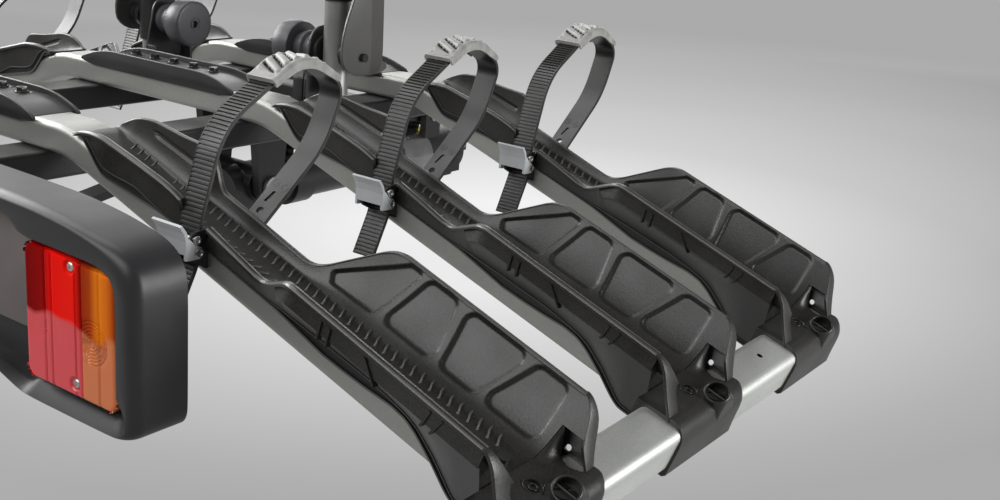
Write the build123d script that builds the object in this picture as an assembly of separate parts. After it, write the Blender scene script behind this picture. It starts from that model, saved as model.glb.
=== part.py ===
from build123d import *
import os
from math import cos, radians, sin, tan

os.makedirs("parts", exist_ok=True)

# Tow-ball bicycle carrier for three bicycles. Millimetres, origin at the centre of the tow ball,
# X to the right, Y towards the car, Z up.

# driving dimensions of the platform
rail_pitch = 205.0          # from one bicycle to the next
rear_rail_y = -619.0
rail_width, rail_height, rail_wall, rail_corner = 40.0, 24.0, 2.0, 5.0
rail_top_z = 143.0          # top of the rail's level middle
bend_x = 150.0              # where the rail starts to slope down
slope = 19.0                # degrees below level
bend_radius = 90.0
rail_rows = {"rear": rear_rail_y, "middle": rear_rail_y + rail_pitch, "front": rear_rail_y + 2 * rail_pitch}

# wheel tray, in its own frame: u out along the rail, v across it, w up from the rail's top
# each row: u, half width at the rims, near rim, far rim, floor
tray_rows = [
    (12, 20.5, 2.2, 2.2, 1.8), (19, 23, 8, 11, 3.5), (30, 25, 14, 20, 3.5), (46, 26.5, 19, 26, 3.5),
    (79, 27, 21.5, 31, 3.5), (106, 27.5, 23, 37, 3.5), (117, 27, 23, 32, 3.5), (123, 27, 22.8, 22, 3.5),
    (130, 27, 22.5, 13, 3.5), (166, 27, 17, 12.5, 3.5), (226, 27, 11, 11, 3.5), (236, 29.5, 14, 14, 3.5),
    (270, 53, 43.5, 43.5, 3.5), (280, 56.5, 46.5, 46.5, 3.5), (450, 57.5, 44.5, 44.5, 3.5),
    (464, 57.5, 38, 38, 6), (475, 57.5, 20, 20, 7.5), (491, 57.5, 9.5, 9.5, 8)]
tray_base_half, tray_floor_half, rim_thick = 21.0, 17.5, 2.6
cell_depth, cell_corner = 1.3, 3.0
# cells of the flared wall, corners as distance out along the wall and distance up it
wall_cells = [
    [(247, 15), (290, 51), (300, 51), (289, 10), (252, 9)],
    [(311, 51), (334, 51), (346, 11), (300, 11)],
    [(347, 51), (398, 51), (383, 11), (356, 11)],
    [(412, 50), (434, 50), (437, 12), (396, 12)]]
tooth_pitch, tooth_first, tooth_last = 17.2, 45.0, 430.0
tooth_wide, tooth_tall, tooth_slant = 1.6, 2.2, 5.5
tooth_inner, tooth_outer = 3.0, 15.0
inner_screw_u, outer_screw_u = 80.0, 435.0
screw_v, screw_radius = -2.0, 2.4
boss_u, boss_v = 478.0, 4.0

# crossbar that joins the rails' ends on each side, in the tray's frame
bar_u, bar_w = 470.0, -10.5
bar_wide, bar_high, bar_wall, bar_corner = 38.0, 29.0, 2.5, 7.0
bar_overhang = 53.0         # past the outer rails' centrelines

# wheel straps, as seen from the side: across the rail and up from the strap's own buckle pin
strap_x, strap_wide, strap_thick = 299.0, 20.0, 3.0
buckle_z = 85.0
pin_y, pin_z = -31.0, 0.0   # buckle pin, from the rail's centreline and buckle_z
strap_route = [(-45, -46), (-27, -10), (-25, 16), (-4, 84), (72, 129), (117, 103), (98, 58), (32, 3.7)]
strap_radii = [40, 80, 60, 35, 14, 80]
pad_route = [(47, 114.2), (72, 129), (101, 112.24)]

# longitudinal beams, main tube, hoop
beam_x, beam_wide, beam_high, beam_wall = 104.0, 40.0, 24.0, 2.0
beam_rear_y, beam_front_y = -724.0, -150.0
tube_radius, tube_wall, tube_z = 22.5, 3.0, 10.0
tube_rear_y, tube_front_y = -346.0, -62.0
tilt_y, tilt_z, tilt_pin_radius = -320.0, 22.0, 8.0
hoop_x, hoop_y, hoop_radius, hoop_wall = 134.0, -325.0, 12.5, 2.0
hoop_pivot_z, hoop_low_z, hoop_top_z = 176.0, 135.0, 760.0
pivot_bolt_radius = 4.0

# light board
board_half, board_low, board_high = 393.0, 4.0, 135.0
board_front_y, board_back_y = -768.0, -727.0
board_wall, board_corner = 3.0, 28.0
lens_centre, lens_wide, lens_high, lens_z = 330.5, 89.0, 91.0, 65.5
red_share = 0.64            # inboard share of the lamp that is red

running = 0.05              # radial clearance of a shaft that turns in a hole


def save(node, solids):
    """Write one named sub-part."""
    solids = solids if isinstance(solids, (list, tuple)) else [solids]
    found = [s for item in solids for s in item.solids()]
    export_step(found[0] if len(found) == 1 else Compound(children=found), f"parts/{node}.step")


def box(x0, x1, y0, y1, z0, z1):
    """A block between two corners."""
    return Pos((x0 + x1) / 2, (y0 + y1) / 2, (z0 + z1) / 2) * Box(x1 - x0, y1 - y0, z1 - z0)


def rod_x(radius, x0, x1, y, z):
    """A round rod along X."""
    return Pos((x0 + x1) / 2, y, z) * Rot(0, 90, 0) * Cylinder(radius, x1 - x0)


def rod_y(radius, y0, y1, x, z):
    """A round rod along Y."""
    return Pos(x, (y0 + y1) / 2, z) * Rot(90, 0, 0) * Cylinder(radius, y1 - y0)


def rod_z(radius, z0, z1, x, y):
    """A round rod along Z."""
    return Pos(x, y, (z0 + z1) / 2) * Cylinder(radius, z1 - z0)


def plate_x(points, x0, x1):
    """A flat plate, its outline in Y and Z, from x0 to x1."""
    return extrude(Plane.YZ.offset(x0) * Polygon(*points, align=None), x1 - x0, dir=(1, 0, 0))


def plate_y(points, y0, y1):
    """A flat plate, its outline in X and Z, from y0 to y1."""
    return extrude(Plane.XZ.offset(-y0) * Polygon(*points, align=None), y1 - y0, dir=(0, 1, 0))


def mirrored(solid):
    """The same piece on the left side."""
    return mirror(solid, about=Plane.YZ)


def both_sides(solid):
    """A right-hand piece and its mirror image."""
    return [solid, mirrored(solid)]


tray_frame = Location((bend_x, 0, rail_top_z), (0, slope, 0))


def in_tray_frame(u, v, w):
    """A point of the tray's frame, in the carrier's frame."""
    a = radians(slope)
    return (bend_x + u * cos(a) + w * sin(a), v, rail_top_z - u * sin(a) + w * cos(a))


# rails and crossbars

def rail():
    """One arched rail: level middle, both ends sloping down to the crossbars."""
    shift = rail_height / 2 * tan(radians(slope / 2))
    end_x, _, end_z = in_tray_frame(bar_u - bar_wide / 2, 0, -rail_height / 2)
    middle_z = rail_top_z - rail_height / 2
    path = FilletPolyline((-end_x, 0, end_z), (shift - bend_x, 0, middle_z), (bend_x - shift, 0, middle_z),
                          (end_x, 0, end_z), radius=bend_radius)
    outline = RectangleRounded(rail_width, rail_height, rail_corner)
    bore = Rectangle(rail_width - 2 * rail_wall, rail_height - 2 * rail_wall)
    start = Plane(origin=path @ 0, x_dir=(0, 1, 0), z_dir=path % 0)
    tube = sweep(start * (outline - bore), path=path)
    for u in (inner_screw_u, outer_screw_u):
        hole = tray_frame * (Pos(u, screw_v, -2) * Cylinder(screw_radius, 8))
        tube -= [hole, mirrored(hole)]
    return tube


def bar_section(grow=0.0):
    """The crossbar's outline in the tray's frame."""
    return Pos(bar_u, bar_w) * RectangleRounded(bar_wide + 2 * grow, bar_high + 2 * grow, bar_corner + grow)


def crossbar():
    """Right-hand crossbar along Y, with the clamp screws' holes."""
    y0, y1 = rail_rows["rear"] - bar_overhang, rail_rows["front"] + bar_overhang
    half, middle = (y1 - y0) / 2, (y0 + y1) / 2
    section = bar_section() - Pos(bar_u, bar_w) * RectangleRounded(
        bar_wide - 2 * bar_wall, bar_high - 2 * bar_wall, bar_corner - bar_wall)
    bar = extrude(Plane.XZ * section, amount=half, both=True)
    for y in list(rail_rows.values()):
        bar -= Pos(boss_u, y - middle + boss_v, 4) * Cylinder(4.2, 12)
    bar -= Pos(bar_u + 6, -292 - middle, 4) * Cylinder(3.5, 12)
    return Pos(0, middle, 0) * (tray_frame * bar)


def crossbar_caps():
    """Plastic end plugs of the right-hand crossbar."""
    caps = []
    for y, out in ((rail_rows["rear"] - bar_overhang, -1), (rail_rows["front"] + bar_overhang, 1)):
        head = extrude(Plane.XZ * bar_section(), amount=1.5, both=True)
        plug = extrude(Plane.XZ * Pos(bar_u, bar_w) * RectangleRounded(
            bar_wide - 2 * bar_wall, bar_high - 2 * bar_wall, bar_corner - bar_wall), amount=5, both=True)
        caps.append(Pos(0, y + 1.5 * out, 0) * (tray_frame * head)
                    + Pos(0, y - 5 * out, 0) * (tray_frame * plug))
    return caps


# wheel trays

def tray_section(u, half, near, far, floor):
    """Open trough across the rail at one place along the tray."""
    return Plane.YZ.offset(u) * Polygon(
        (-tray_base_half, 0), (-half, near), (rim_thick - half, near), (-tray_floor_half, floor),
        (tray_floor_half, floor), (half - rim_thick, far), (half, far), (tray_base_half, 0), align=None)


def wall_recesses():
    """Shallow rounded cells sunk in the inner face of the far flared wall."""
    half, rim, floor = tray_rows[13][1] - rim_thick, tray_rows[13][3], tray_rows[13][4]
    up = Vector(0, half - tray_floor_half, rim - floor).normalized()
    face = Plane(origin=(0, tray_floor_half, floor), x_dir=(1, 0, 0), z_dir=Vector(1, 0, 0).cross(up))
    cells = []
    for corners in wall_cells:
        sketch = Polygon(*corners, align=None)
        sketch = chamfer(sketch.vertices(), cell_corner)
        cells.append(extrude(face.offset(-cell_depth) * sketch, 6, dir=face.z_dir))
    return cells


def floor_teeth():
    """Slanted grip teeth in two rows along the tray's floor."""
    teeth = []
    count = int((tooth_last - tooth_first) / tooth_pitch) + 1
    for n in range(count):
        u = tooth_first + n * tooth_pitch
        if abs(u - inner_screw_u) < 8 or abs(u - outer_screw_u) < 8:
            continue
        for side in (-1, 1):
            outline = Polygon((u, side * tooth_inner), (u + tooth_wide, side * tooth_inner),
                              (u + tooth_wide - tooth_slant, side * tooth_outer),
                              (u - tooth_slant, side * tooth_outer), align=None)
            teeth.append(extrude(Plane.XY.offset(3) * outline, 0.5 + tooth_tall, dir=(0, 0, 1)))
    return teeth


def right_tray():
    """Right-hand wheel tray over a rail whose centreline is Y = 0."""
    body = loft([tray_section(*row) for row in tray_rows], ruled=True)
    # skirts that hide the rail's end
    skirt = [(360, 0.5), (381, -5), (400, -14), (414, -24), (424, -31), (452, -31), (452, 0.5)]
    body += [plate_y(skirt, 20, 23), plate_y(skirt, -23, -20)]
    # block round the crossbar
    clamp_half = tray_rows[-1][1]
    clamp = [(447, 8), (447, -24), (451, -29.5), (486, -29.5), (493, -22), (493, 2), (487, 8)]
    body += plate_y(clamp, -clamp_half, clamp_half)
    body += Pos(boss_u, boss_v, 9) * Cylinder(13, 9)
    body -= wall_recesses() + [mirror(cell, about=Plane.XZ) for cell in wall_recesses()]
    body -= extrude(Plane.XZ * bar_section(), amount=90, both=True)
    body -= extrude(Plane.YZ.offset(300) * Pos(0, -rail_height / 2) * RectangleRounded(
        rail_width, rail_height, rail_corner), amount=bar_u - bar_wide / 2 - 300)
    body -= Pos(boss_u, boss_v, 12) * Cylinder(9.5, 8)
    body -= Pos(boss_u, boss_v, 5) * Cylinder(4.2, 12)
    body -= Pos(461, -7, 9) * Cylinder(7, 5)
    body += floor_teeth()
    for u in (inner_screw_u, outer_screw_u):
        body -= Pos(u, screw_v, 3.5) * Cylinder(screw_radius, 12)
    body = tray_frame * body
    # notch for the buckle, and the lug that carries the strap's far end
    body -= box(strap_x - 14, strap_x + 14, -40, -rail_width / 2, 60, 140)
    lug = [(20.6, 8), (20.6, -8), (31, -8), (50, 10), (48, 14.8), (29.5, -0.4), (25, 3), (25, 15), (22.5, 15)]
    body += plate_x([(y, z + buckle_z) for y, z in lug], strap_x - 9, strap_x + 9)
    return body


def tray_screws():
    """Screws that hold a right-hand tray to its rail."""
    screws = []
    for u in (inner_screw_u, outer_screw_u):
        head = Pos(u, screw_v, 4.9) * Cylinder(4.6, 2.8)
        shank = Pos(u, screw_v, 0.75) * Cylinder(screw_radius, 5.5)
        screws.append(tray_frame * (head + shank))
    return screws


def boss_screw():
    """Slotted clamp screw in a right-hand tray's outer boss."""
    head = Pos(boss_u, boss_v, 9.5) * Cylinder(9.2, 3)
    shank = Pos(boss_u, boss_v, 4) * Cylinder(4.2, 9)
    return tray_frame * (head + shank - Pos(boss_u, boss_v, 10.6) * Rot(0, 0, 60) * Box(17, 1.8, 2))


# wheel straps and their buckles, about a rail whose centreline is Y = 0

def strap_path(route, radii):
    """Middle line of a strap or of a stretch of it."""
    return FilletPolyline(*[(strap_x, y, z + buckle_z) for y, z in route], radius=radii)


def strap():
    """Ladder strap in one loop over the wheel's rim."""
    path = strap_path(strap_route, strap_radii)
    start = Plane(origin=path @ 0, x_dir=(1, 0, 0), z_dir=path % 0)
    body = sweep(start * Rectangle(strap_wide, strap_thick), path=path)
    # paired holes near the far end
    for t in (0.90, 0.93):
        hole = Plane(origin=path @ t, x_dir=(1, 0, 0), z_dir=(path % t).cross(Vector(1, 0, 0)))
        body -= extrude(hole * Circle(3.4), amount=6, both=True)
    return body


def rim_pad():
    """Louvred pad on the strap where it crosses the rim."""
    path = strap_path(pad_route, strap_radii[3])
    start = Plane(origin=path @ 0, x_dir=(1, 0, 0), z_dir=path % 0)
    section = chamfer(Rectangle(28, 8).vertices(), 2) - Rectangle(strap_wide + 0.4, strap_thick + 0.4)
    pad = sweep(start * section, path=path)
    for n in range(4):
        t = 0.17 + n * 0.22
        slot = Plane(origin=path @ t, x_dir=(1, 0, 0), z_dir=path % t)
        pad -= extrude(slot * Pos(0, -4.5) * Rectangle(16, 5.5), amount=1.6, both=True)
    return pad


def buckle_frame():
    """Folded steel frame on the rail's near side."""
    half = 12.0
    web = box(strap_x - half, strap_x + half, -rail_width / 2 - 2, -rail_width / 2, buckle_z - 14, buckle_z + 13)
    outline = [(-22, -12), (-31, -8.8), (-38, -5), (-39, 3), (-34, 14), (-22, 15)]
    frame = web
    for x in (strap_x - half, strap_x + half - 2):
        frame += plate_x([(y, z + buckle_z) for y, z in outline], x, x + 2)
    frame -= rod_x(2.5, strap_x - 20, strap_x + 20, pin_y, buckle_z)
    frame -= rod_x(2.2, strap_x - 20, strap_x + 20, pin_y - 2, buckle_z + 9.5)
    return frame


def buckle_pins():
    """Pivot rivet and pawl rivet of one buckle."""
    pivot = rod_x(2.5, strap_x - 16.5, strap_x + 16.5, pin_y, buckle_z)
    pawl = rod_x(2.2, strap_x - 12.8, strap_x + 12.8, pin_y - 2, buckle_z + 9.5)
    return [pivot, pawl]


def buckle_lever():
    """Ratchet lever: a thumb plate between two ears on the buckle's pivot rivet."""
    plate = [(-42.5, 0), (-40.3, 0), (-40.3, 11), (-42, 17), (-46, 22.5), (-48, 21.5), (-44.4, 16), (-42.5, 10)]
    ear = [(-42.5, -4), (-36, -4.5), (-30, -4.5), (-27.5, -1), (-28.5, 3.5), (-34, 6), (-40, 12), (-42.5, 10)]
    lever = plate_x([(y, z + buckle_z) for y, z in plate], strap_x - 15, strap_x + 15)
    for x in (strap_x - 15, strap_x + 12.6):
        lever += plate_x([(y, z + buckle_z) for y, z in ear], x, x + 2.4)
    return lever - rod_x(2.5 + running, strap_x - 20, strap_x + 20, pin_y, buckle_z)


# black channels on the rails' level middles

def channel_cover():
    """Shallow U channel clipped over the rail's level middle, its ends drawn to a point."""
    half, tip, flange = 84.0, 104.0, rail_width / 2 + 2
    top, low = rail_top_z + 14, rail_top_z - 6
    side = [(-tip, rail_top_z), (-half, top), (half, top), (tip, rail_top_z), (half + 8, low), (-half - 8, low)]
    shell = plate_y(side, -flange, flange)
    shell -= box(-tip, tip, 2 - flange, flange - 2, rail_top_z + 2.5, rail_top_z + 20)
    shell -= box(-tip, tip, -rail_width / 2, rail_width / 2, rail_top_z - 10, rail_top_z)
    for n in range(-2, 3):
        shell -= box(n * 32 - 9, n * 32 + 9, -6, 6, rail_top_z - 1, rail_top_z + 4)
    return shell


def channel_bolts():
    """Hexagon bolts standing in a channel's slots."""
    return [extrude(Pos(n * 32, 0, rail_top_z) * RegularPolygon(5, 6), 4, dir=(0, 0, 1)) for n in range(-2, 3)]


# longitudinal beams and the cross members between them

def beam():
    """Right-hand rectangular beam under the rails."""
    top = rail_top_z - rail_height
    section = RectangleRounded(beam_wide, beam_high, 3) - RectangleRounded(
        beam_wide - 2 * beam_wall, beam_high - 2 * beam_wall, 1)
    tube = extrude(Plane.XZ.offset(-beam_front_y) * Pos(beam_x, top - beam_high / 2) * section,
                   amount=beam_front_y - beam_rear_y)
    return tube


def tilt_bracket():
    """Cross member with two lugs that hang on the tilt pin."""
    low = rail_top_z - rail_height - beam_high
    reach = beam_x - beam_wide / 2
    bracket = box(-reach, reach, tilt_y - 24, tilt_y + 24, low + 2, low + 12)
    for x in (-45, 35):
        lug = plate_x([(tilt_y - 24, low + 3), (tilt_y + 24, low + 3), (tilt_y + 16, tilt_z), (tilt_y - 16, tilt_z)],
                      x, x + 10)
        bracket += lug + rod_x(16, x, x + 10, tilt_y, tilt_z)
    return bracket - rod_x(tilt_pin_radius + running, -60, 60, tilt_y, tilt_z)


latch_y, latch_z = -235.0, 84.0
pedal_travel = 8.0          # degrees


def latch_bracket():
    """Front cross member with the pedal's two ears."""
    low = rail_top_z - rail_height - beam_high
    reach = beam_x - beam_wide / 2
    bracket = box(-reach, reach, latch_y + 9, latch_y + 45, low + 2, low + 12)
    for x in (-20, 15):
        bracket += plate_x([(latch_y + 40, low + 3), (latch_y - 8, low + 3), (latch_y - 8, latch_z - 7),
                            (latch_y + 8, latch_z - 7)], x, x + 5)
    return bracket - rod_x(4, -30, 30, latch_y, latch_z)


def pedal_pin():
    """Pin of the tilt pedal."""
    return rod_x(4, -22, 22, latch_y, latch_z)


def pressed(solid):
    """A latched pedal's piece, pressed down until its hook is clear of the striker."""
    return Pos(0, latch_y, latch_z) * Rot(pedal_travel, 0, 0) * Pos(0, -latch_y, -latch_z) * solid


def tilt_pedal():
    """Long foot lever whose front hook holds the platform down when the pedal is up."""
    bar = [(latch_y + 4, latch_z + 5), (latch_y - 420, latch_z - 14), (latch_y - 470, -9), (latch_y - 560, -9),
           (latch_y - 560, -15), (latch_y - 463, -15), (latch_y - 413, latch_z - 21), (latch_y - 3, latch_z - 5)]
    hook = [(latch_y - 6.5, latch_z - 2), (latch_y + 7, latch_z - 2), (latch_y + 8, 37), (latch_y - 3, 37),
            (latch_y - 3, 41.5), (latch_y + 1.3, 41.5), (latch_y + 1.3, 62), (latch_y - 6.5, 68)]
    lever = plate_x(bar, -11, 11) + plate_x(hook, -8, 8) + rod_x(9, -11, 11, latch_y, latch_z)
    return pressed(lever - rod_x(4 + running, -30, 30, latch_y, latch_z))


def pedal_pad():
    """Ribbed rubber tread on the pedal's end."""
    pad = box(-34, 34, latch_y - 562, latch_y - 488, -9, -3)
    for n in range(5):
        y = latch_y - 554 + n * 13
        pad += box(-34, 34, y, y + 6, -3, -1)
    return pressed(pad)


# main tube, coupling and its clamp

def main_tube():
    """Round tube from the coupling back to the tilt pin."""
    tube = rod_y(tube_radius, tube_rear_y, tube_front_y, 0, tube_z)
    return tube - rod_y(tube_radius - tube_wall, tube_rear_y, tube_front_y, 0, tube_z) - tilt_hole()


def tilt_hole():
    """Room for the tilt pin."""
    return rod_x(tilt_pin_radius, -60, 60, tilt_y, tilt_z)


def tube_saddle():
    """Cast cap round the main tube's rear end, with the boss that the tilt pin goes through."""
    cap = rod_y(29, tube_rear_y - 6, tube_rear_y + 54, 0, tube_z)
    cap += rod_x(19, -32, 32, tilt_y, tilt_z)
    cap -= rod_y(tube_radius, tube_rear_y, tube_rear_y + 60, 0, tube_z)
    return cap - tilt_hole()


def tilt_pin():
    """Pin that the whole platform tilts on, with a head at each end."""
    pin = rod_x(tilt_pin_radius, -49, 49, tilt_y, tilt_z)
    return pin + rod_x(12, 45.5, 50, tilt_y, tilt_z) + rod_x(12, -50, -45.5, tilt_y, tilt_z)


def latch_striker():
    """Collar on the main tube with the cross pin that the pedal's hook catches."""
    collar = rod_y(tube_radius + 4, latch_y - 26, latch_y + 2, 0, tube_z) - rod_y(
        tube_radius, latch_y - 30, latch_y + 6, 0, tube_z)
    for x in (-16, 10):
        collar += plate_x([(latch_y - 20, 33), (latch_y + 2, 33), (latch_y + 2, 52), (latch_y - 10, 54)], x, x + 6)
    return collar + rod_x(4.5, -16, 16, latch_y - 4.2, 46.8)


ball_radius = 25.0
clamp_y, clamp_z = -24.0, 58.0
jaw_y, jaw_z = 36.0, 18.0


def coupling_body():
    """Cast coupling: a polished barrel with the seat for the tow ball under it."""
    barrel = rod_y(31, -70, 30, 0, tube_z)
    body = barrel + box(-30, 30, -44, 24, -14, tube_z)
    body += box(-21, -12, clamp_y - 14, clamp_y + 14, 30, clamp_z + 6)
    body += box(12, 21, clamp_y - 14, clamp_y + 14, 30, clamp_z + 6)
    body += box(-24, -13, 20, jaw_y + 8, jaw_z - 9, jaw_z + 9) + box(13, 24, 20, jaw_y + 8, jaw_z - 9, jaw_z + 9)
    body -= Sphere(ball_radius + 0.3) + rod_z(ball_radius + 0.3, -60, 0, 0, 0)
    body -= box(-12.5, 12.5, 8, 60, -60, 30)
    body -= rod_y(tube_radius, -80, tube_front_y, 0, tube_z)
    return body - rod_x(4, -40, 40, clamp_y, clamp_z) - rod_x(5, -40, 40, jaw_y, jaw_z)


def coupling_pins():
    """Pins of the clamp lever and of the jaw."""
    return [rod_x(4, -23, 23, clamp_y, clamp_z), rod_x(5, -26, 26, jaw_y, jaw_z)]


def coupling_jaw():
    """Swinging jaw that closes under the front of the tow ball."""
    outline = [(30, 27), (jaw_y + 9, 24), (jaw_y + 9, -10), (30, -24), (14, -24), (12, -18), (26, 0)]
    jaw = plate_x(outline, -12, 12) - Sphere(ball_radius + 0.2)
    return jaw - rod_x(5 + running, -30, 30, jaw_y, jaw_z)


def clamp_lever():
    """Hand lever that draws the jaw shut, lying back over the main tube."""
    arm = [(clamp_y + 9, clamp_z - 9), (clamp_y + 9, clamp_z + 9), (clamp_y - 60, clamp_z + 12),
           (clamp_y - 140, clamp_z + 12), (clamp_y - 140, clamp_z + 2), (clamp_y - 66, clamp_z + 2)]
    lever = plate_x(arm, -8, 8) + rod_x(12, -8, 8, clamp_y, clamp_z)
    return lever - rod_x(4 + running, -30, 30, clamp_y, clamp_z)


def clamp_grip():
    """Plastic grip on the hand lever."""
    y0, y1, z = clamp_y - 146, clamp_y - 72, clamp_z + 7
    grip = Pos(0, (y0 + y1) / 2, z) * Rot(90, 0, 0) * extrude(RectangleRounded(26, 22, 8), (y1 - y0) / 2, both=True)
    return grip - box(-8, 8, clamp_y - 140, y1 + 1, clamp_z + 2, clamp_z + 12)


# hoop that the bicycles lean on

def hoop_path():
    """Middle line of the hoop."""
    return FilletPolyline((-hoop_x, hoop_y, hoop_low_z), (-hoop_x, hoop_y, hoop_top_z),
                          (hoop_x, hoop_y, hoop_top_z), (hoop_x, hoop_y, hoop_low_z), radius=80)


def hoop():
    """Bent tube with the pivot bolts' holes in its feet."""
    path = hoop_path()
    start = Plane(origin=path @ 0, x_dir=(1, 0, 0), z_dir=path % 0)
    tube = sweep(start * (Circle(hoop_radius) - Circle(hoop_radius - hoop_wall)), path=path)
    return tube - rod_x(pivot_bolt_radius + running, -160, 160, hoop_y, hoop_pivot_z)


def hoop_sleeve():
    """Plastic sleeve on the right-hand leg."""
    z0 = 226.0
    return rod_z(hoop_radius + 3, z0, z0 + 60, hoop_x, hoop_y) - rod_z(hoop_radius, z0, z0 + 60, hoop_x, hoop_y)


def hoop_bracket():
    """Right-hand post of folded steel that carries the hoop's foot."""
    low = rail_top_z - rail_height
    web = box(114, 117, hoop_y - 25, hoop_y + 25, low, 232)
    web += box(102, 117, hoop_y - 25, hoop_y - 22, low, 150) + box(102, 117, hoop_y + 22, hoop_y + 25, low, 150)
    web += box(92, 117, hoop_y - 25, hoop_y + 25, low, low + 3)
    web += rod_x(15, 117, 121, hoop_y, hoop_pivot_z)
    return web - rod_x(pivot_bolt_radius, 80, 130, hoop_y, hoop_pivot_z)


def pivot_bolt():
    """Right-hand bolt through the hoop's foot, with its spacer and locking collar."""
    bolt = rod_x(pivot_bolt_radius, 74, 172, hoop_y, hoop_pivot_z)
    return bolt + rod_x(12, 147, 153, hoop_y, hoop_pivot_z)


def hoop_knob():
    """Right-hand grip wheel on the inboard end of the pivot bolt."""
    knob = rod_x(25, 68, 90, hoop_y, hoop_pivot_z)
    knob = chamfer(knob.edges().filter_by(GeomType.CIRCLE).group_by(Axis.X)[0], 3)
    hub = rod_x(15, 90, 113.7, hoop_y, hoop_pivot_z)
    for n in range(8):
        rib = rod_x(2.5, 92, 112, hoop_y, hoop_pivot_z + 15.5)
        hub += Pos(0, hoop_y, hoop_pivot_z) * Rot(n * 45, 0, 0) * Pos(0, -hoop_y, -hoop_pivot_z) * rib
    return knob + hub - rod_x(pivot_bolt_radius + running, 73.5, 130, hoop_y, hoop_pivot_z)


def hoop_lever():
    """Right-hand clamp lever on the outboard end of the pivot bolt."""
    outline = [(hoop_y + 24, hoop_pivot_z - 8), (hoop_y + 40, hoop_pivot_z - 14), (hoop_y + 24, hoop_pivot_z + 4),
               (hoop_y + 19, hoop_pivot_z + 112), (hoop_y - 8, hoop_pivot_z + 116), (hoop_y - 24, hoop_pivot_z)]
    lever = plate_x(outline, 153.3, 169) + rod_x(24, 153.3, 169, hoop_y, hoop_pivot_z)
    lever -= plate_x([(hoop_y + 12, hoop_pivot_z + 34), (hoop_y + 10, hoop_pivot_z + 104),
                      (hoop_y - 4, hoop_pivot_z + 106), (hoop_y - 12, hoop_pivot_z + 34)], 153, 165)
    return lever - rod_x(pivot_bolt_radius + running, 150, 180, hoop_y, hoop_pivot_z)


# light board

def board_outline(inset=0.0):
    """Front view of the board: a long rounded panel."""
    return Pos(0, (board_low + board_high) / 2) * RectangleRounded(
        2 * (board_half - inset), board_high - board_low - 2 * inset, board_corner - inset)


def lens_window(side, grow=0.0):
    """Front view of one lamp."""
    return Pos(side * lens_centre, lens_z) * RectangleRounded(lens_wide + 2 * grow, lens_high + 2 * grow, 9)


def light_housing():
    """Moulded housing, open at the back, with the lamps' windows and the recess for the number plate."""
    front = Plane.XZ.offset(-board_front_y)
    shell = extrude(front * board_outline(), amount=board_front_y - board_back_y)
    shell = fillet(shell.faces().sort_by(Axis.Y)[0].outer_wire().edges(), 7)
    shell -= extrude(front.offset(-board_wall) * board_outline(board_wall), amount=-60)
    for side in (-1, 1):
        shell -= extrude(front.offset(5) * lens_window(side), amount=-20)
    surround = Pos(0, 62) * RectangleRounded(564, 104, 12)
    shell += extrude(front.offset(-1) * surround, amount=-17)
    recess = Pos(0, 62) * RectangleRounded(556, 96, 8)
    return shell - extrude(front.offset(5) * recess, amount=-30)


def light_back():
    """Flat cover in the housing's back."""
    return extrude(Plane.XZ.offset(-board_back_y) * board_outline(board_wall), amount=3)


def lens(side, x_from, x_to):
    """Part of one lamp's lens between two X values."""
    front = Plane.XZ.offset(-board_front_y)
    block = extrude(front.offset(-2) * lens_window(side), amount=-22)
    block -= extrude(front.offset(-4.5) * lens_window(side, -2.5), amount=-22)
    return block & box(min(side * x_from, side * x_to), max(side * x_from, side * x_to), -800, -700, 0, 140)


def lamp_parts():
    """Red and amber lenses of both lamps."""
    split = lens_centre - lens_wide / 2 + lens_wide * red_share
    red = [lens(side, lens_centre - 60, split) for side in (-1, 1)]
    amber = [lens(side, split, lens_centre + 60) for side in (-1, 1)]
    return red, amber


def lens_screws():
    """Two screws in each lens."""
    y = board_front_y + 2
    return [rod_y(3.4, y - 1.4, y, side * 331.5, z) for side in (-1, 1) for z in (103, 28)]


def plate_panel():
    """Panel in the recess that carries the number plate."""
    front = Plane.XZ.offset(-board_front_y)
    return extrude(front.offset(-12) * Pos(0, 75) * RectangleRounded(556, 70, 8), amount=-3)


def light_arm():
    """Right-hand arm from the beam to the board's back."""
    top = rail_top_z - rail_height - beam_high
    return box(beam_x - 18, beam_x + 18, beam_rear_y, beam_rear_y + 70, top - 6, top) + box(
        beam_x - 18, beam_x + 18, board_back_y, board_back_y + 3, 40, top + 20)


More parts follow.
